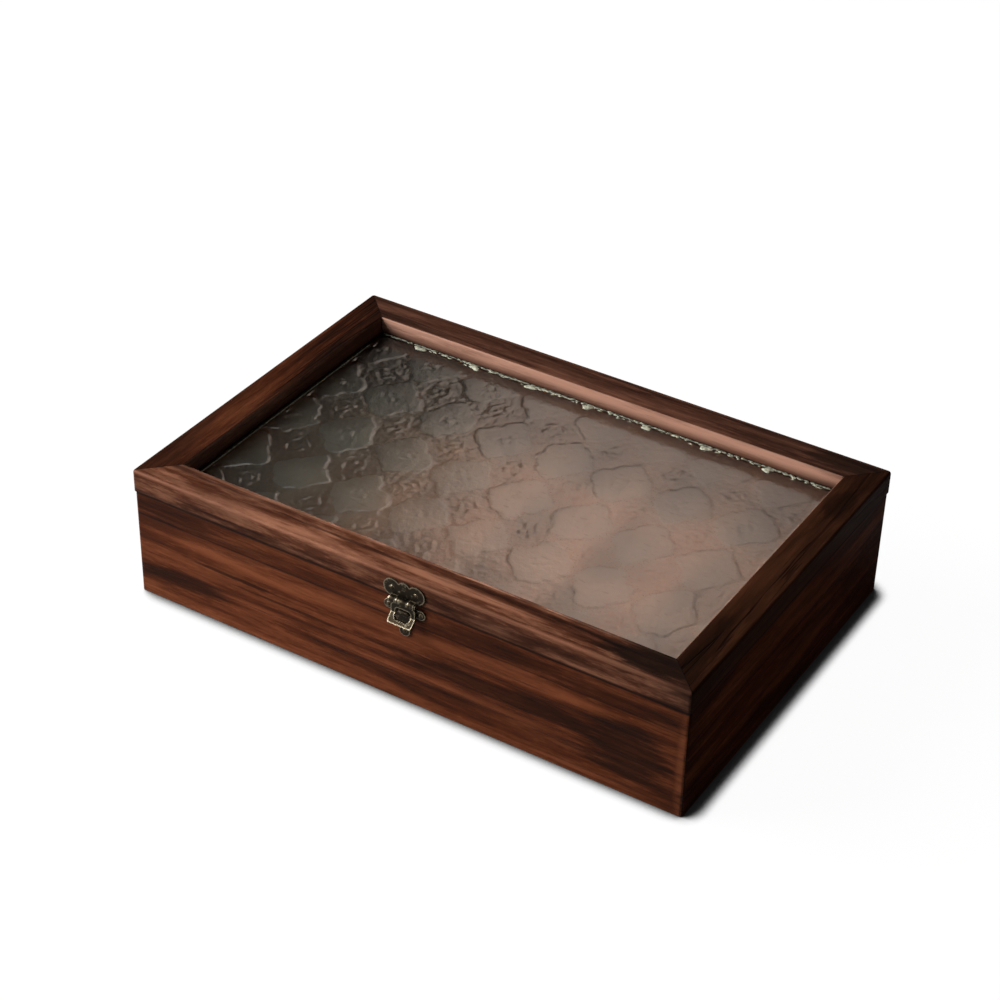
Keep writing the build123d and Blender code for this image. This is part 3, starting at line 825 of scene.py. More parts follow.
@dataclass
class Woodwork:
    """The torched walls of the case and rails of the lid, with what closes them."""

    arris: float = 0.75 * MM

    def front_wall_marks(self) -> tuple[Mark, ...]:
        """Gives the marks on the front wall.

        Returns:
            The marks.
        """
        return (
            Mark(0.45, (-128, -100, 52.0), (40, 30, 5.5)),
            Mark(0.40, (50, -100, 51.0), (46, 30, 7.0)),
            Mark(0.35, (110, -100, 50.0), (34, 30, 8.0)),
            Mark(0.70, (-97, -100, 30.0), (40, 30, 1.5)),
            Mark(0.65, (-55, -100, 26.0), (46, 30, 1.2)),
            Mark(0.70, (55, -100, 27.0), (84, 30, 5.4)),
            Mark(0.70, (-122, -100, 15.0), (30, 30, 5.0)),
            Mark(0.75, (122, -100, 25.0), (27, 30, 19)),
            Mark(-0.85, (-68, -100, 40.0), (74, 30, 6.0)),
            Mark(-0.45, (-125, -100, 40.0), (22, 30, 5.0)),
            Mark(-0.70, (-15, -100, 17.5), (110, 30, 2.6)),
            Mark(-0.60, (58, -100, 40.5), (70, 30, 4.6)),
            Mark(-0.60, (100, -100, 3.0), (40, 30, 1.6)),
            Mark(-0.55, (95, -100, 13.0), (48, 30, 4.0)),
            # Painted highlight on the rounded corner at the right end.
            Mark(-0.80, (149, -100, 28.0), (4.5, 30, 40)),
        )

    def front_rail_marks(self) -> tuple[Mark, ...]:
        """Gives the marks on the lid's front rail.

        Returns:
            The marks.
        """
        return (
            Mark(0.70, (-88, -100, 62.3), (28, 6, 0.9)),
            Mark(0.60, (-35, -100, 62.0), (13, 6, 0.8)),
            Mark(0.45, (-80, -100.5, 60.5), (80, 3, 4.0)),
            Mark(0.50, (45, -100.5, 62.0), (70, 3, 5.5)),
            Mark(0.60, (-35, -90, 70), (64, 1.2, 3)),
            Mark(0.55, (60, -87.5, 70), (50, 1.1, 3)),
            Mark(0.50, (50, -96, 66), (42, 4, 3)),
            Mark(0.90, (126, -92, 68), (28, 11, 8)),
            Mark(0.50, (85, -98, 62), (62, 6, 3.5)),
            # Painted highlight along the lid's top front edge, where the arris caught the light.
            Mark(-0.60, (-75, -96.5, 69), (54, 4.5, 2.8)),
            Mark(-0.80, (-60, -84.3, 70), (74, 1.7, 1.7)),
            Mark(-0.80, (24, -92.5, 70), (52, 3.0, 2.6)),
            Mark(-0.70, (136, -100, 67), (13, 5, 2.4)),
        )

    def boards(self) -> list[tuple[str, TorchedWood]]:
        """Gives each torched board its own cut of wood.

        Returns:
            Each board's node name and finish.
        """
        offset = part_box("front_wall")[1].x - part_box("left_wall")[1].y
        window_x, window_y = half_window()
        rail_y = -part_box("lid_front_rail")[0].y
        rail_x = -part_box("lid_left_rail")[0].x
        x, y = Grain.ALONG_X, Grain.ALONG_Y
        back_rail_marks = (
            Mark(0.8, (128, 92, 70), (34, 9, 7)),
            Mark(0.45, (95, 92, 70), (44, 9, 5)),
            Mark(0.4, (-30, 94, 70), (60, 2, 2)),
            Mark(-0.4, (-40, 89, 70), (90, 3, 2)),
        )
        left_rail_marks = (
            Mark(-0.5, (-140, -30, 70), (3, 60, 2)),
            Mark(0.5, (-134.5, 0, 70), (1.4, 80, 3)),
            Mark(0.4, (-146, 50, 70), (3, 40, 3)),
        )
        right_rail_marks = (
            Mark(0.6, (140, 62, 70), (12, 16, 6)),
            Mark(0.5, (138, -66, 70), (14, 24, 8)),
            Mark(-0.5, (140, 5, 70), (4, 34, 2)),
        )
        # The boards' tones and colours differ partly as the wood does and partly as painted light and
        # shade: the right wall and right rail, which face away from the lamp, are made darker, and the
        # front rail is made paler and pinker, as a painted sheen on its top.
        return [
            ("front_wall", TorchedWood(
                "torched_front_wall", x, 3.1, (-0.05, 0.020), offset, tone_and_shading=0.92,
                scorch=(0.15, 0.30), scorch_reach=40 * MM, patches=0.2, marks=self.front_wall_marks(),
                ring_darkness=0.22, glue_joint=46 * MM, middle=screen_colour(90, 44, 23))),
            ("back_wall", TorchedWood(
                "torched_back_wall", x, 7.7, (0.04, 0.045), offset,
                scorch=(0.6, 0.4))),
            ("left_wall", TorchedWood(
                "torched_left_wall", y, 12.9, (-0.08, 0.01), offset,
                scorch=(0.4, 0.6))),
            ("right_wall", TorchedWood(
                "torched_right_wall", y, 21.3, (0.09, 0.07), offset, tone_and_shading=0.85, gloss=0.02,
                middle=screen_colour(92, 40, 14),
                scorch=(0.6, 0.5), scorch_reach=60 * MM, patches=0.6)),
            ("lid_front_rail", TorchedWood(
                "torched_front_rail", x, 31.7, (-0.06, 0.0), offset, tone_and_shading=1.1, half=rail_y,
                streak=Cloud((32, 165, 165), 5.0, 0.66), ring_darkness=0.4,
                middle=screen_colour(88, 50, 34), light=screen_colour(148, 100, 77),
                scorch=(0.15, 0.8), patches=0.35, marks=self.front_rail_marks(), window=window_y,
                rub_width=1.8 * MM)),
            ("lid_back_rail", TorchedWood(
                "torched_back_rail", x, 43.3, (0.12, 0.03), offset, tone_and_shading=0.72, half=rail_y,
                middle=screen_colour(88, 54, 41), light=screen_colour(138, 92, 72),
                scorch=(0.3, 0.6), marks=back_rail_marks, window=window_y, rubbed=0.95)),
            ("lid_left_rail", TorchedWood(
                "torched_left_rail", y, 55.9, (-0.16, 0.02), offset, tone_and_shading=0.43, half=rail_x,
                scorch=(0.3, 0.4), marks=left_rail_marks, window=window_x, rubbed=0.95, painted_corner_shade=0.25)),
            ("lid_right_rail", TorchedWood(
                "torched_right_rail", y, 68.1, (0.17, 0.03), offset, tone_and_shading=0.50, gloss=0.02, half=rail_x,
                dark=screen_colour(56, 31, 19), middle=screen_colour(76, 44, 28),
                light=screen_colour(100, 59, 39), scorch=(0.6, 0.5), scorch_reach=60 * MM,
                marks=right_rail_marks, window=window_x, rub_width=0.5 * MM)),
        ]

    def dress(self) -> None:
        """Finishes every wooden piece."""
        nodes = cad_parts
        for name, finish in self.boards():
            assign(nodes[name], finish.material())
            soften_edges(nodes[name], self.arris)
            log.info("%s: torched wood", name)
        stained = {grain: StainedWood(f"stained_{grain.value}", grain).material() for grain in Grain}
        grains = dict.fromkeys(("glazing_bead_front", "glazing_bead_back", "bottom_panel"), Grain.ALONG_X)
        grains |= dict.fromkeys(("glazing_bead_left", "glazing_bead_right"), Grain.ALONG_Y)
        for name, grain in grains.items():
            assign(nodes[name], stained[grain])
            soften_edges(nodes[name], self.arris)
        log.info("beads and bottom panel: stained wood")


def smooth_step(low: float, high: float, values: np.ndarray) -> np.ndarray:
    """Goes smoothly from 0 at low to 1 at high."""
    share = np.clip((values - low) / (high - low), 0, 1)
    return share * share * (3 - 2 * share)


def rough_field(x: np.ndarray, y: np.ndarray, cell: float, seed: int) -> np.ndarray:
    """Gives smooth random heights over a plane.

    Args:
        x: X of each point.
        y: Y of each point.
        cell: Width of one bump.
        seed: Picks the bumps.

    Returns:
        Heights from 0 to 1.
    """
    column, row = (x - x.min()) / cell, (y - y.min()) / cell
    i, j = column.astype(int), row.astype(int)
    grid = np.random.default_rng(seed).random((i.max() + 2, j.max() + 2))
    a, b = smooth_step(0, 1, column - i), smooth_step(0, 1, row - j)
    near = grid[i, j] * (1 - a) + grid[i + 1, j] * a
    far = grid[i, j + 1] * (1 - a) + grid[i + 1, j + 1] * a
    return near * (1 - b) + far * b


@dataclass
class GlassPane:
    """The pane, with the old begonia pattern rolled into its upper face."""

    pitch: Pair = (33.3 * MM, 38.5 * MM)
    flower_centre: Pair = (-91.3 * MM, 31.0 * MM)
    cells: tuple[int, int] = (380, 241)
    relief: float = 0.5 * MM
    plain_edge: float = 3.4 * MM  # from the rails to where the pattern starts
    edge_blend: float = 0.8 * MM  # how gently it starts
    edge_sunk: float = 0.55  # depth of the plain edge, as a share of the relief
    edge_rise: float = 1.2 * MM  # how far from the rails it reaches that depth
    welt: float = 0.5  # height of the raised line where the pattern starts, as a share of the relief
    sway: float = 4.2 * MM  # how far the flowers' outlines stray
    lobes: float = 1.32  # shapes the flower: 1 is a diamond and 2 an oval
    reach: float = 0.93  # of the flower, as a share of half the pitch
    notch: Pair = (0.075, 0.13)  # depth and width of the dent between two petals
    faint_span: Pair = (-72 * MM, -5 * MM)  # where the pattern turns faint, from left to right
    flattened: float = 0.4  # how much of the relief is lost there
    flat_height: float = 0.62  # where the relief settles as it is lost
    crack_depth: float = 0.28  # of the groove along the flowers' outlines
    crack_kept: float = 0.65  # how much of it the faint part keeps, and on two sides of a flower only
    seed: int = 11

    def rough(self, x: np.ndarray, y: np.ndarray, cell: float, number: int) -> np.ndarray:
        """Gives one of the pane's rough fields, about 0."""
        return rough_field(x, y, cell, self.seed + number) - 0.5

    def folded(self, x: np.ndarray, y: np.ndarray) -> list[np.ndarray]:
        """Folds the pane onto one flower, with outlines that stray.

        Args:
            x: X of each point.
            y: Y of each point.

        Returns:
            Each point's place from the centre of its flower, along X and along Y.
        """
        places = []
        for axis, (line, first) in enumerate(((x, 3), (y, 5))):
            wide, fine = self.rough(x, y, 12.0 * MM, first), self.rough(x, y, 4.6 * MM, first + 1)
            sway = self.sway * (wide + 0.55 * fine)
            pitch = self.pitch[axis]
            places.append((line + sway - self.flower_centre[axis] + pitch / 2) % pitch - pitch / 2)
        return places

    def pattern(self, x: np.ndarray, y: np.ndarray) -> tuple[np.ndarray, ...]:
        """Works out the relief of large four-lobed flowers with small ones between them.

        Args:
            x: X of each point.
            y: Y of each point.

        Returns:
            Each point's height, how much it blurs, how much of a crack it is and how speckled
            it is, all from 0 to 1.
        """
        half_x, half_y = self.pitch[0] / 2, self.pitch[1] / 2
        drift = self.rough(x, y, 4.5 * MM, 0)
        crinkle = self.rough(x, y, 1.9 * MM, 1) + 0.7 * self.rough(x, y, 1.15 * MM, 2)
        u, v = self.folded(x, y)

        # The flower's outline, with a groove along it.
        lit_side = smooth_step(0.01, 0.11, -u * v / (half_x * half_y))
        u, v = np.abs(u), np.abs(v)
        p, q = u / half_x, v / half_y
        turn = np.arctan2(q, p + TINY)
        lobed = 1.0 - self.notch[0] * np.exp(-((turn - math.pi / 4) / self.notch[1]) ** 2)
        size = (p ** self.lobes + q ** self.lobes) ** (1 / self.lobes) / lobed + 0.05 * drift
        inside = (self.reach - size) * half_x / MM  # millimetres, as the lengths after it
        flower = smooth_step(-0.9, 0.9, inside)
        crack = np.exp(-((inside + 0.1) / 0.75) ** 2)
        crack = crack * smooth_step(0.2, 0.65, rough_field(x, y, 6 * MM, self.seed + 7))

        # The flower's face, with stamens round a boss.
        away = np.hypot(u, v) / MM
        stamens = np.exp(-((away - 3.4) / 0.8) ** 2) * np.cos(2 * turn) ** 2
        boss = np.exp(-((away / 1.4) ** 2))
        face = 0.70 + 0.10 * np.clip(1 - size ** 2, 0, 1) - 0.30 * stamens + 0.16 * boss
        face = face + 0.10 * crinkle + 0.12 * drift

        # The ground between four flowers, with small petals round a heart.
        a, b = (half_x - u) / MM, (half_y - v) / MM
        petal = smooth_step(2.0, 0.8, np.hypot((a - b * 0.86) * 0.45, a + b * 0.86 - 6.2))
        heart = smooth_step(1.9, 0.7, np.hypot(a, b))
        ground = 0.30 + 0.42 * petal + 0.34 * heart + 0.34 * crinkle

        # All of it turns faint towards the right, and grime lies in specks along the outlines.
        faint = smooth_step(*self.faint_span, x)
        crack = crack * (1 - faint * (1.0 - self.crack_kept * lit_side))
        height = flower * face + (1 - flower) * ground - self.crack_depth * crack * (0.75 + drift)
        height = height + self.flattened * faint * (self.flat_height - height)
        speckled = 0.7 * np.exp(-((inside + 0.6) / 2.8) ** 2) + 0.35 * (1 - flower)
        return np.clip(height, 0, 1), 0.75 + 0.25 * flower, crack, np.clip(speckled, 0, 1)

    def upper_face(self, x: np.ndarray, y: np.ndarray) -> tuple[np.ndarray, dict[str, np.ndarray]]:
        """Works out the upper face: the pattern with a welt and a plain edge round it.

        Args:
            x: X of each point.
            y: Y of each point.

        Returns:
            Each point's height as a share of the relief, and what the glass's finish reads from
            the mesh, by name.
        """
        height, frost, crack, speckled = self.pattern(x, y)
        window_x, window_y = half_window()
        inward = np.minimum(window_x - np.abs(x), window_y - np.abs(y))
        start, blend = self.plain_edge, self.edge_blend
        patterned = smooth_step(start - blend, start + blend, inward)
        welt = np.exp(-((inward - start) / blend) ** 2)
        sunk = self.edge_sunk * (1 - patterned) * smooth_step(0, self.edge_rise, inward)
        bulge = np.clip(1 - (1 - height) * patterned - sunk + self.welt * welt, 0, 1)
        shares = {"frost": frost * patterned, "crack": crack * patterned, "speckled": speckled * patterned}
        return bulge, shares

    def closed(self, top: np.ndarray, bottom: float) -> bpy.types.Mesh:
        """Closes the upper face with four sides and a flat underside.

        Args:
            top: The upper face's points, row by row.
            bottom: Height of the underside.

        Returns:
            The mesh, whose first points are those of the upper face.
        """
        columns, rows = self.cells
        index = np.arange(len(top)).reshape(rows + 1, columns + 1)
        corners = (index[:-1, :-1], index[:-1, 1:], index[1:, 1:], index[1:, :-1])
        faces = np.column_stack([corner.ravel() for corner in corners]).tolist()
        rim = np.concatenate([index[0, :-1], index[:-1, -1], index[-1, :0:-1], index[:0:-1, 0]])
        under = top[rim].copy()
        under[:, 2] = bottom
        first, count = len(top), len(rim)
        for i in range(count):
            j = (i + 1) % count
            faces.append([int(rim[j]), int(rim[i]), first + i, first + j])
        faces.append([first + i for i in reversed(range(count))])
        mesh = mesh_from("patterned_glass_pane", np.vstack([top, under]), faces)
        mesh.polygons[len(mesh.polygons) - 1].use_smooth = False
        return mesh

    def build(self) -> None:
        """Makes the pane."""
        low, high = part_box("glass_pane")
        columns, rows = self.cells
        xs, ys = np.linspace(low.x, high.x, columns + 1), np.linspace(low.y, high.y, rows + 1)
        x, y = (grid.ravel() for grid in np.meshgrid(xs, ys))
        bulge, shares = self.upper_face(x, y)
        top = np.column_stack([x, y, high.z - self.relief * (1 - bulge)])
        mesh = self.closed(top, low.z)
        for name, above in shares.items():
            below = 1.0 if name == "frost" else 0.0  # the underside blurs, and holds no grime
            under = np.full(len(mesh.vertices) - len(top), below)
            values = np.concatenate([above, under]).astype(np.float32)
            mesh.attributes.new(name, "FLOAT", "POINT").data.foreach_set("value", values)
        pane = mesh_object("patterned_glass_pane", mesh)
        assign(pane, RolledGlass("rolled_glass").material())
        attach(pane, "lid")
        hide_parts("glass_pane")
        log.info("patterned glass pane: %d faces", len(mesh.polygons))


@dataclass(frozen=True)
class Putty(Finish):
    """Old glazing putty with a green cast, pale where it also stands for the painted glints along the
    glass's back and left edges.
    """

    dull: Colour = screen_colour(72, 73, 57)
    pale: Colour = screen_colour(210, 212, 188)
    cloud: Cloud = Cloud((520, 700, 700), 3.0, 0.6)
    grit: Cloud = Cloud((2600, 2600, 2600))
    rail_fade: Pair = (80.9 * MM, 81.6 * MM)  # from the open putty to that beside the back rail
    rail_shade: float = 0.3  # painted shade: how much darker it is there, beside the back rail
    relief: float = 0.15 * MM

    def shader(self, r: Recipe) -> Socket:
        """Gives the putty's shader.

        Args:
            r: The material's recipe.

        Returns:
            The shader.
        """
        place = r.place()
        cloud, grit = r.clouds(place, self.cloud), r.clouds(place, self.grit)
        tint = r.total((cloud, 1.5), (grit, 0.3), (1.0, -0.45))
        # Painted shade on the putty beside the back rail.
        by_rail = r.ease(r.split(place)[1], *self.rail_fade, 0.0, self.rail_shade)
        tint = r.math("SUBTRACT", tint, by_rail)
        inputs = {
            "Base Color": r.ramp(tint, (0.1, self.dull), (0.8, self.pale)),
            "Roughness": r.ease(cloud, 0.3, 0.7, 0.35, 0.6),
            "Normal": r.bump(r.total((cloud, 0.7), (grit, 0.3)), self.relief),
        }
        return r.surface(inputs)


@dataclass
class PuttyDabs:
    """Putty that beds the glass, whose pale dabs and beads also paint the glints along its edges: dabs and
    crumbs by the back rail, and thin beads there and at the left.
    """

    first: float = -106.5 * MM
    step: float = 33.6 * MM
    count: int = 7
    line: float = 79.6 * MM  # from the centre line of the box
    size: Triple = (3.3 * MM, 1.7 * MM, 0.8 * MM)  # half the length and depth, and the height
    wobble: float = 0.42
    rings: int = 5
    sides: int = 22
    crumbs: int = 8  # between one dab and the next
    crumb_place: Pair = (0.12, 0.88)  # along a step, as a share of it
    crumb_spread: Pair = (-0.4, 1.8)  # behind the line of the dabs, in millimetres
    crumb_scale: Pair = (0.15, 0.42)  # beside a dab
    sunk: float = 0.32 * MM  # how far the foot lies below the glass's highest points
    side_line: float = -130.6 * MM  # the bead along the left rail
    side_reach: Pair = (-78 * MM, 66 * MM)
    side_count: int = 34
    back_line: float = 81.9 * MM  # the bead along the back rail
    back_reach: Pair = (-129 * MM, 130 * MM)
    back_count: int = 70
    bead: Triple = (3.4 * MM, 0.45 * MM, 0.5 * MM)  # half the length and width, and the height
    side_scale: Pair = (0.5, 1.0)  # of the left bead's length and width, from one grain to the next
    back_length: Pair = (0.4, 0.9)  # and of the back bead's
    back_width: Pair = (0.8, 2.0)
    seed: int = 4

    def dab(
        self, centre: Triple, size: Triple, dice: np.random.Generator
    ) -> tuple[list[Triple], list[tuple[int, ...]]]:
        """Makes one low, uneven dab.

        Args:
            centre: The middle of its foot.
            size: Half its length and depth, and its height.
            dice: The source of its unevenness.

        Returns:
            Its points and its faces.
        """
        phases = dice.uniform(0, math.tau, 3)
        points = []
        for ring in range(self.rings):
            lift = math.radians(90 * ring / self.rings)
            for side in range(self.sides):
                turn = math.tau * side / self.sides
                bulge = sum(math.sin((k + 2) * turn + phases[k]) / (k + 2) for k in range(3))
                reach = (1 + self.wobble * bulge) * math.cos(lift)
                points.append((
                    centre[0] + size[0] * reach * math.cos(turn),
                    centre[1] + size[1] * reach * math.sin(turn),
                    centre[2] + size[2] * math.sin(lift)))
        points.append((centre[0], centre[1], centre[2] + size[2]))
        faces: list[tuple[int, ...]] = [tuple(reversed(range(self.sides)))]
        for ring in range(self.rings - 1):
            for side in range(self.sides):
                near, beside = ring * self.sides + side, ring * self.sides + (side + 1) % self.sides
                faces.append((near, beside, beside + self.sides, near + self.sides))
        last = (self.rings - 1) * self.sides
        for side in range(self.sides):
            faces.append((last + side, last + (side + 1) % self.sides, last + self.sides))
        return points, faces

    def spots(self, foot: float, dice: np.random.Generator) -> list[tuple[Triple, Triple]]:
        """Scatters the dabs, the crumbs between them and the grains of both beads.

        Args:
            foot: Height of their foot.
            dice: The source of their unevenness.

        Returns:
            The place and the size of each.
        """
        spots: list[tuple[Triple, Triple]] = []
        for i in range(self.count):
            spots.append(((self.first + i * self.step, self.line, foot), self.size))
            for _ in range(self.crumbs):
                along = self.first + (i + dice.uniform(*self.crumb_place)) * self.step
                scale = dice.uniform(*self.crumb_scale)
                across = self.line + dice.uniform(*self.crumb_spread) * MM
                size = (scale * self.size[0], scale * self.size[1], self.size[2] * (0.4 + 0.4 * scale))
                spots.append(((along, across, foot), size))
        length, width, height = self.bead
        for y in np.linspace(*self.side_reach, self.side_count):
            across = width * dice.uniform(*self.side_scale)
            size = (across, length * dice.uniform(*self.side_scale), height)
            spots.append(((self.side_line, float(y), foot), size))
        for x in np.linspace(*self.back_reach, self.back_count):
            along = length * dice.uniform(*self.back_length)
            size = (along, width * dice.uniform(*self.back_width), height)
            spots.append(((float(x), self.back_line, foot), size))
        return spots

    def build(self) -> None:
        """Makes all the putty as one piece."""
        dice = np.random.default_rng(self.seed)
        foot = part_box("glass_pane")[1].z - self.sunk
        points: list[Triple] = []
        faces: list[tuple[int, ...]] = []
        for place, size in self.spots(foot, dice):
            more_points, more_faces = self.dab(place, size, dice)
            faces += [tuple(len(points) + corner for corner in face) for face in more_faces]
            points += more_points
        piece = mesh_object("putty_dabs", mesh_from("putty_dabs", np.array(points), faces))
        assign(piece, Putty("putty_and_painted_glint").material())
        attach(piece, "lid")
        log.info("putty dabs: %d faces", len(faces))


@dataclass
class Metalwork:
    """Hinges and clasp in old bronze, and their pins, screws and nails."""

    edge: float = 0.25 * MM

    def dress(self) -> None:
        """Finishes every metal piece."""
        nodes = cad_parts
        bronze = OldBronze("old_bronze").material()
        fixings = OldBronze(
            "bronze_fixings_dark", dark=screen_colour(46, 38, 29), rubbed=screen_colour(150, 134, 106),
            edge_radius=0.25 * MM, rub=0.8).material()
        plates = ["clasp_lid_plate", "hasp", "catch_plate", "clasp_pin"]
        for side in ("left", "right"):
            plates += [f"hinge_{side}_{part}" for part in ("case_leaf", "lid_leaf", "pin")]
        for name in plates:
            assign(nodes[name], bronze)
            soften_edges(nodes[name], self.edge)
        heads = ["bead_pins"]
        heads += [f"{kind}_{body}" for kind in ("hinge_screws", "clasp_nails") for body in ("case", "lid")]
        for name in heads:
            assign(nodes[name], fixings)
        log.info("metalwork: %d pieces", len(plates) + len(heads))


@dataclass
class Cushion:
    """A cushion of foam rolls side by side on one base, swollen under its velvet."""

    length: float
    depth: float
    height: float
    rolls: int = 3
    groove: float = 1.6 * MM
    base: float = 9.0 * MM  # height of the grooves' bottoms
    arc_steps: int = 16
    swell: float = 1.3 * MM  # farthest that the velvet may move outward
    enlarged: float = 10.0  # the cloth is worked out at this many times its size
    voxel: float = 1.25 * MM
    pressure: float = 4.0
    frames: int = 20
    stitch: float = 7.0 * MM  # from one stitch to the next along a groove
    sewn: float = 1.1 * MM  # reach of a stitch
    piping: float = 0.5 * MM  # radius of the piped seam round each end
    piping_sides: int = 8
    seam_share: float = 0.95  # where the seams lie, as a share of half the length
    # Places towards each end, as shares of half the length, and how large the section is there.
    end_round: tuple[Pair, ...] = ((1.0, 0.93), (0.985, 0.965), (0.95, 0.985), (0.8, 0.995), (0.4, 1.0))

    def outline(self) -> list[Pair]:
        """Draws the section across the rolls.

        Returns:
            Its points, from one foot over the top to the other.
        """
        width = (self.depth - (self.rolls - 1) * self.groove) / self.rolls
        radius = width / 2
        spine = self.height - radius
        points = [(-self.depth / 2, 0.0)]
        for roll in range(self.rolls):
            centre = -self.depth / 2 + radius + roll * (width + self.groove)
            if roll:
                points.append((centre - radius, self.base))
            for i in range(self.arc_steps + 1):
                turn = math.pi * (1 - i / self.arc_steps)
                points.append((centre + radius * math.cos(turn), spine + radius * math.sin(turn)))
            if roll < self.rolls - 1:
                points.append((centre + radius, self.base))
        points.append((self.depth / 2, 0.0))
        return points

    def foam(self) -> bpy.types.Mesh:
        """Makes the foam with its rounded ends.

        Returns:
            The mesh, with its origin at the middle of the cushion's underside.
        """
        outline = self.outline()
        stations = [(-share, scale) for share, scale in self.end_round]
        stations += [(0.0, 1.0), *reversed(self.end_round)]
        middle = self.height / 2
        points = []
        for share, scale in stations:
            for y, z in outline:
                points.append((share * self.length / 2, y * scale, max(0.0, middle + (z - middle) * scale)))
        count = len(outline)
        faces: list[list[int]] = []
        for s in range(len(stations) - 1):
            for i in range(count):
                j = (i + 1) % count
                faces.append([s * count + i, s * count + j, (s + 1) * count + j, (s + 1) * count + i])
        faces.append(list(reversed(range(count))))
        faces.append([(len(stations) - 1) * count + i for i in range(count)])
        return mesh_from("cushion_form", np.array(points), faces)

    def pinned(self, points: np.ndarray) -> list[int]:
        """Picks the points that hold still: the underside and the stitches in the grooves.

        Args:
            points: The velvet's points at their true size.

        Returns:
            Their numbers.
        """
        x, y, z = points.T
        roll = (self.depth + self.groove) / self.rolls
        across = np.abs((y + roll * self.rolls / 2 + roll / 2) % roll - roll / 2)
        inner = np.abs(y) < self.depth / 2 - roll / 2
        along = np.abs((x + self.stitch / 2) % self.stitch - self.stitch / 2)
        stitched = inner & (across < self.groove) & (z < self.base + self.sewn) & (along < self.sewn)
        return np.flatnonzero((z < self.voxel / 2) | stitched).tolist()

    def blown_up(self, draft: bpy.types.Object) -> bpy.types.Mesh:
        """Runs the cloth simulation, with gravity off and the sewn points held still.

        Args:
            draft: The velvet, enlarged, with its vertex group of sewn points.

        Returns:
            The velvet's mesh at the last frame.
        """
        cloth = draft.modifiers.new("cloth", "CLOTH")
        cloth.settings.vertex_group_mass = "sewn"
        cloth.settings.use_pressure = True
        cloth.settings.uniform_pressure_force = self.pressure
        cloth.settings.effector_weights.gravity = 0.0
        cloth.collision_settings.use_collision = False
        cloth.point_cache.frame_end = self.frames
        for step in range(1, self.frames + 1):
            bpy.context.scene.frame_set(step)
        return evaluated_mesh(draft)

    def swollen(self, foam: bpy.types.Mesh) -> bpy.types.Mesh:
        """Blows the velvet up over the foam with a short cloth simulation.

        Args:
            foam: The foam at its true size.

        Returns:
            The velvet's mesh at its true size.
        """
        size = (self.length, self.depth, self.height)
        slack = (2 * self.swell, 2 * self.swell, self.swell)
        shrink = [self.enlarged * (1 - less / full) for full, less in zip(size, slack)]
        foam.transform(Matrix.Diagonal((*shrink, 1.0)))
        draft = mesh_object("cushion_draft", foam)
        draft.modifiers.new("net", "REMESH").voxel_size = self.voxel * self.enlarged
        velvet = evaluated_mesh(draft)
        draft.modifiers.clear()
        draft.data = velvet
        before = mesh_points(velvet)
        draft.vertex_groups.new(name="sewn").add(self.pinned(before / self.enlarged), 1.0, "REPLACE")
        moved = self.blown_up(draft)
        move = mesh_points(moved) - before
        far = np.linalg.norm(move, axis=1, keepdims=True)
        cap = self.swell * self.enlarged
        move *= np.minimum(1.0, cap / np.maximum(far, TINY))
        log.info("cushion: velvet moved up to %.2f mm", float(far.max()) / self.enlarged / MM)
        bpy.data.objects.remove(draft)
        bpy.context.scene.frame_set(1)
        faces = [list(face.vertices) for face in moved.polygons]
        points = (before + move) / self.enlarged
        points[:, 2] = np.maximum(points[:, 2], 0.0)
        return mesh_from("cushion_velvet", points, faces)

    def piped(self, velvet: bpy.types.Mesh) -> bpy.types.Mesh:
        """Adds the piped seam that runs over the rolls at each end.

        Args:
            velvet: The velvet's mesh.

        Returns:
            The mesh with both seams in it.
        """
        points = mesh_points(velvet)
        faces = [list(face.vertices) for face in velvet.polygons]
        tree = BVHTree.FromPolygons(points.tolist(), faces)
        parts = [points]
        count = len(points)
        for end in (-1, 1):
            line = []
            for y, z in self.outline():
                near = Vector((end * self.seam_share * self.length / 2, y, max(z, self.piping)))
                spot = tree.find_nearest(near)[0]
                if not line or (spot - line[-1]).length > self.piping:
                    line.append(spot)
            sides = self.piping_sides
            for i, spot in enumerate(line):
                ahead = (line[min(i + 1, len(line) - 1)] - line[max(i - 1, 0)]).normalized()
                side = Vector((1, 0, 0))
                side = (side - ahead * side.dot(ahead)).normalized()
                up = ahead.cross(side)
                turns = [math.tau * k / sides for k in range(sides)]
                ring = [side * math.cos(turn) + up * math.sin(turn) for turn in turns]
                parts.append(np.array([spot + self.piping * way for way in ring]))
            first = count
            for i in range(len(line) - 1):
                for k in range(sides):
                    near, beside = first + i * sides + k, first + i * sides + (k + 1) % sides
                    faces.append([near, beside, beside + sides, near + sides])
            faces.append([first + k for k in reversed(range(sides))])
            faces.append([first + (len(line) - 1) * sides + k for k in range(sides)])
            count += len(line) * sides
        return mesh_from("cushion_form", np.vstack(parts), faces)

    def mesh(self) -> bpy.types.Mesh:
        foam = self.foam()
        return self.piped(self.swollen(foam))


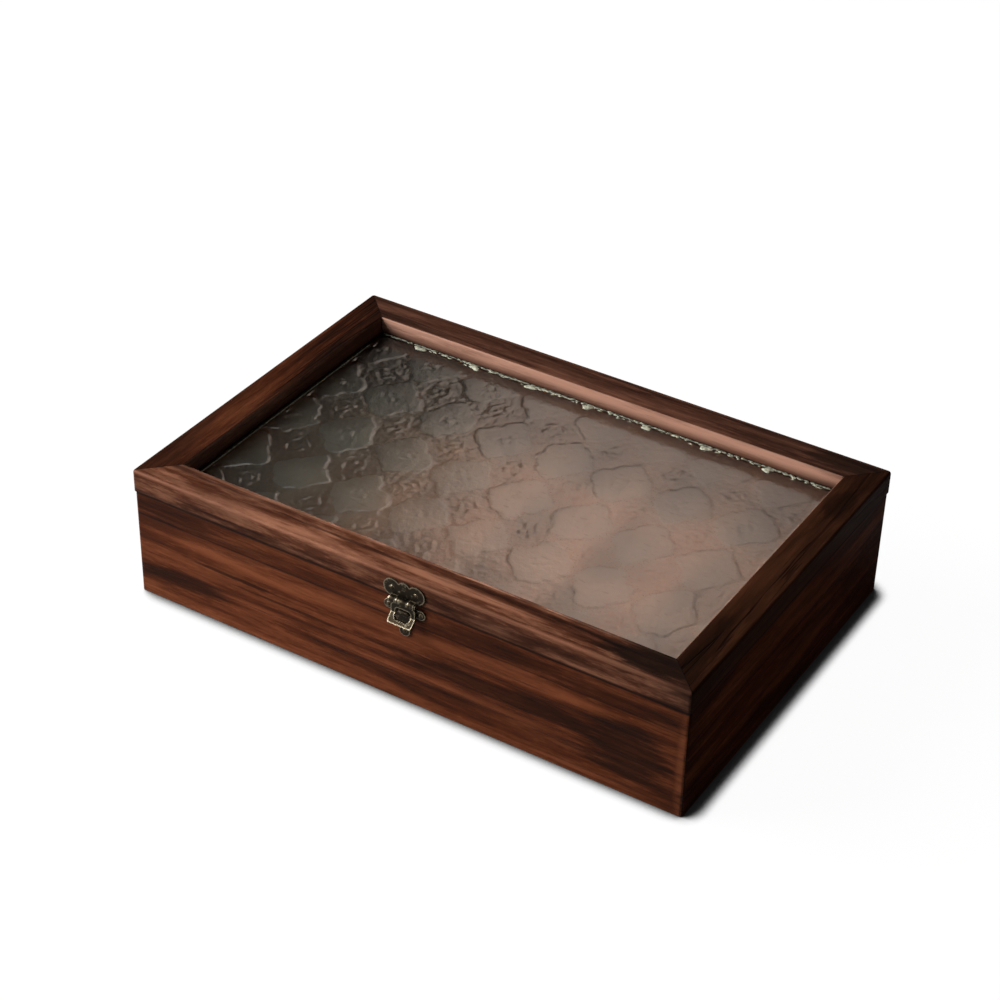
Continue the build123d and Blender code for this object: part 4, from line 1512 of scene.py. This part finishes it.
@dataclass
class Tray:
    """Velvet linings, dividers and cushions inside the case."""

    board_round: float = 0.6 * MM
    round_segments: int = 3
    same_point: float = 1e-7  # closer points of a board are one
    flat: float = math.radians(1)  # faces that turn by less are one
    board: Velvet = Velvet("velvet_lining", screen_colour(138, 106, 90), screen_colour(180, 146, 126))
    pad: Velvet = Velvet("velvet_pad", screen_colour(158, 123, 106), screen_colour(202, 166, 144))

    def covered_board(self, node: str, material: bpy.types.Material) -> None:
        """Makes a velvet-covered board in the place of a CAD one.

        Args:
            node: The board's node name.
            material: The velvet.
        """
        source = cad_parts[node]
        bm = bmesh.new()
        bm.from_mesh(source.data)
        bmesh.ops.remove_doubles(bm, verts=bm.verts, dist=self.same_point)
        bmesh.ops.dissolve_limit(bm, angle_limit=self.flat, verts=bm.verts, edges=bm.edges)
        name = f"{node}_velvet"
        mesh = bpy.data.meshes.new(name)
        bm.to_mesh(mesh)
        bm.free()
        board = mesh_object(name, mesh)
        bevel = board.modifiers.new("round", "BEVEL")
        bevel.width = self.board_round
        bevel.segments = self.round_segments
        bevel.limit_method = "ANGLE"
        bevel.harden_normals = True
        mesh.polygons.foreach_set("use_smooth", [True] * len(mesh.polygons))
        assign(board, material)
        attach(board, "case")
        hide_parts(node)

    def build(self) -> None:
        """Makes every soft piece."""
        board = self.board.material()
        names = ["floor_lining", "front_lining", "back_lining", "left_lining", "right_lining"]
        names += [f"cross_divider_{i}" for i in range(1, COLUMNS)]
        names += [f"long_divider_{i}" for i in range(1, ROWS)]
        for name in names:
            self.covered_board(name, board)
        log.info("velvet boards: %d pieces", len(names))
        low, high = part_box("cushion_r2_c3")
        mesh = Cushion(*(high - low)).mesh()
        mesh.materials.append(self.pad.material())
        for row in range(1, ROWS + 1):
            for column in range(1, COLUMNS + 1):
                node = f"cushion_r{row}_c{column}"
                low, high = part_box(node)
                cushion = mesh_object(f"{node}_velvet", mesh)
                cushion.location = ((low.x + high.x) / 2, (low.y + high.y) / 2, low.z)
                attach(cushion, "case")
                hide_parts(node)
        log.info("cushions: %d faces each", len(mesh.polygons))


def seen_ray(r: Recipe) -> Socket:
    """Tells what is seen from light that only bounces.

    Args:
        r: The recipe of a material or of the world.

    Returns:
        1 where something is seen straight, mirrored or through glass, and 0 elsewhere.
    """
    path = r.node("ShaderNodeLightPath").outputs
    seen = r.greater(path["Is Camera Ray"], path["Is Glossy Ray"])
    seen = r.greater(seen, path["Is Transmission Ray"])
    return r.times(seen, r.math("LESS_THAN", path["Diffuse Depth"], 0.5))


@dataclass
class Studio:
    """Floor, lamp, cards, surroundings and camera."""

    camera_place: Triple = (0.48383, -0.81031, 0.70909)
    camera_azimuth: float = 31.228  # degrees, as the next two
    camera_elevation: float = 34.822
    camera_roll: float = 1.472
    lens: float = 86.34  # millimetres, as the sensor's width
    sensor: float = 36.0
    floor_half: float = 6.0
    floor_gap: float = 0.3 * MM  # keeps the floor off the box's underside
    floor_glow: float = 0.97
    contact_reach: float = 12 * MM  # how far from the box the painted contact shadow reaches on the floor
    shaded_side: Triple = (-0.45, -0.12, 0.885)  # tilts the painted contact shadow round the box towards its right
    target: Triple = (0.0, 0.0, 0.04)
    lamp_place: Triple = (-1.65, -0.75, 1.05)
    lamp_size: Pair = (1.6, 1.6)
    lamp_power: float = 90.0
    room_light: float = 0.08
    tent_radius: float = 3.2
    tent_sweep: float = 115.0  # degrees from straight behind to each edge of the cloth
    tent_level: float = 0.02
    # The cards and the tent show only in reflections: they paint the reflections, and the cards glow though
    # they are no lamps.
    card_place: Triple = (-1.3, 1.7, 1.15)
    card_size: Pair = (5.2, 3.0)
    card_dark: Colour = (0.010, 0.010, 0.009, 1.0)
    card_warm: Colour = (1.72, 1.43, 1.24, 1.0)
    strip_place: Triple = (-0.95, 0.95, 1.9)
    strip_size: Pair = (0.7, 0.4)
    strip_strength: float = 1.5

    def hang(self, thing: bpy.types.Object, place: Triple) -> None:
        """Hangs a lamp or a card in a place, with its +Z side away from the box."""
        thing.location = place
        thing.rotation_mode = "QUATERNION"
        thing.rotation_quaternion = (Vector(place) - Vector(self.target)).to_track_quat("Z", "Y")

    def lamp(self) -> None:
        """Adds the one soft square lamp, at the front left."""
        data = bpy.data.lights.new("key", "AREA")
        data.shape = "RECTANGLE"
        data.size, data.size_y = self.lamp_size
        data.energy = self.lamp_power
        lamp = bpy.data.objects.new("key", data)
        bpy.context.scene.collection.objects.link(lamp)
        self.hang(lamp, self.lamp_place)

    def floor(self) -> None:
        """Lays the white floor, with a contact shadow painted into its glow close to the box, and a little
        darker in the lamp's real shadow.
        """
        floor = flat_sheet("floor", 2 * self.floor_half, 2 * self.floor_half, -self.floor_gap)
        material, r = new_recipe("floor_white")
        # Painted contact shadow: ambient occlusion darkens the floor's glow close to the box.
        inputs = {"Distance": self.contact_reach, "Normal": r.join(*self.shaded_side)}
        near = r.node("ShaderNodeAmbientOcclusion", inputs, samples=16).outputs["AO"]
        white = r.mix(r.ease(near, 0.52, 0.88, 0.004, 1.0), grey(0.0), grey(1.0))
        glow = r.node("ShaderNodeEmission", {"Color": white, "Strength": self.floor_glow}).outputs[0]
        lit, pale, dim = (r.node("ShaderNodeBsdfDiffuse", {"Color": grey(level)}).outputs[0]
                          for level in (0.05, 0.7, 0.2))
        seen = r.node("ShaderNodeAddShader", {0: glow, 1: lit}).outputs[0]
        other = r.node("ShaderNodeMixShader", {0: seen_ray(r), 1: dim, 2: pale}).outputs[0]
        path = r.node("ShaderNodeLightPath").outputs
        r.end(r.node("ShaderNodeMixShader", {0: path["Is Camera Ray"], 1: other, 2: seen}).outputs[0])
        assign(floor, material)

    def surroundings(self) -> None:
        """Fills the space round the box: white where it is seen, dim where it lights."""
        world = bpy.data.worlds.new("surroundings")
        bpy.context.scene.world = world
        r = Recipe(world)
        seen = seen_ray(r)
        white, dim = (r.node("ShaderNodeBackground", {"Color": grey(1.0), "Strength": level}).outputs[0]
                      for level in (1.0, self.room_light))
        both = r.node("ShaderNodeMixShader", {0: seen, 1: dim, 2: white}).outputs[0]
        r.end(both, "ShaderNodeOutputWorld")

    def mirrored_only(
        self, card: bpy.types.Object, colour: Callable[[Recipe], object], strength: float = 1.0
    ) -> None:
        """Lets a card show in mirror reflections and nowhere else, so that the glass has it to reflect: its
        glow paints reflections, though it is no lamp.

        Args:
            card: The card.
            colour: A function that takes the card's recipe and gives its colour.
            strength: How bright it is.
        """
        material, r = new_recipe(card.name)
        glow = r.node("ShaderNodeEmission", {"Color": colour(r), "Strength": strength}).outputs[0]
        mirrored = r.math("GREATER_THAN", r.node("ShaderNodeLightPath").outputs["Glossy Depth"], 0.5)
        nothing = r.node("ShaderNodeBsdfTransparent").outputs[0]
        r.end(r.node("ShaderNodeMixShader", {0: mirrored, 1: nothing, 2: glow}).outputs[0])
        assign(card, material)
        for ray in ("camera", "diffuse", "volume_scatter", "shadow"):
            setattr(card, f"visible_{ray}", False)

    def tent(self) -> None:
        """Draws a dark sheet round the back of the set, which only mirror reflections show: it paints dark
        reflections where the white surroundings would be mirrored.
        """
        turns, tiers = 24, 8
        points = []
        for tier in range(tiers + 1):
            lift = math.radians(90 * tier / tiers)
            for turn in range(turns + 1):
                swing = math.radians(self.tent_sweep * (2 * turn / turns - 1))
                level = self.tent_radius * math.cos(lift)
                height = self.tent_radius * math.sin(lift)
                points.append((level * math.sin(swing), level * math.cos(swing), height))
        row = turns + 1
        faces = [(t * row + i, t * row + i + 1, (t + 1) * row + i + 1, (t + 1) * row + i)
                 for t in range(tiers) for i in range(turns)]
        tent = mesh_object("dark_tent", mesh_from("dark_tent", np.array(points), faces))
        self.mirrored_only(tent, lambda _: grey(self.tent_level))

    def cards(self) -> None:
        """Hangs a wide dark card behind the box and a bright strip above it, which glow though they are no
        lamps and paint reflections on the glass, wood and metal.
        """

        def graded(r: Recipe) -> Socket:
            """Colours the card nearly black, with a soft warm patch right of the middle.

            Args:
                r: The card's recipe.

            Returns:
                The colour.
            """
            across, up, _ = r.split(r.place())
            left, right = r.ease(across, 0.02, -0.27), r.ease(across, -1.1, -0.4)
            low, high = r.ease(up, -0.3, 0.40), r.ease(up, 1.3, 0.7)
            share = r.times(r.times(left, right), r.times(low, high))
            return r.mix(share, self.card_dark, self.card_warm)

        card = flat_sheet("graded_card", *self.card_size)
        self.hang(card, self.card_place)
        self.mirrored_only(card, graded)
        strip = flat_sheet("bright_strip", *self.strip_size)
        self.hang(strip, self.strip_place)
        self.mirrored_only(strip, lambda _: grey(1.0), self.strip_strength)

    def camera(self) -> None:
        """Sets the camera on the box's front right, a little above."""
        azimuth, elevation = math.radians(self.camera_azimuth), math.radians(self.camera_elevation)
        roll = math.radians(self.camera_roll)
        level = math.cos(elevation)
        back = Vector((math.sin(azimuth) * level, -math.cos(azimuth) * level, math.sin(elevation)))
        right = (-back).cross(Vector((0, 0, 1))).normalized()
        up = right.cross(-back)
        level_right = right * math.cos(roll) + up * math.sin(roll)
        level_up = -right * math.sin(roll) + up * math.cos(roll)
        data = bpy.data.cameras.new("camera")
        data.lens = self.lens
        data.sensor_width = self.sensor
        camera = bpy.data.objects.new("camera", data)
        bpy.context.scene.collection.objects.link(camera)
        axes = Matrix((level_right, level_up, back)).transposed()
        camera.matrix_world = Matrix.Translation(self.camera_place) @ axes.to_4x4()
        bpy.context.scene.camera = camera

    def build(self) -> None:
        """Sets up the whole studio."""
        self.camera()
        self.floor()
        self.surroundings()
        self.lamp()
        self.cards()
        self.tent()
        bpy.context.scene.view_settings.view_transform = "Standard"
        log.info("studio: camera, floor, one lamp, two cards, one tent")


def main() -> None:
    """Builds the looks in order."""
    logging.basicConfig(level=logging.INFO, format="%(name)s: %(message)s")
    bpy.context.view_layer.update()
    Studio().build()
    Woodwork().dress()
    GlassPane().build()
    PuttyDabs().build()
    Metalwork().dress()
    Tray().build()


if __name__ == "__main__":
    main()
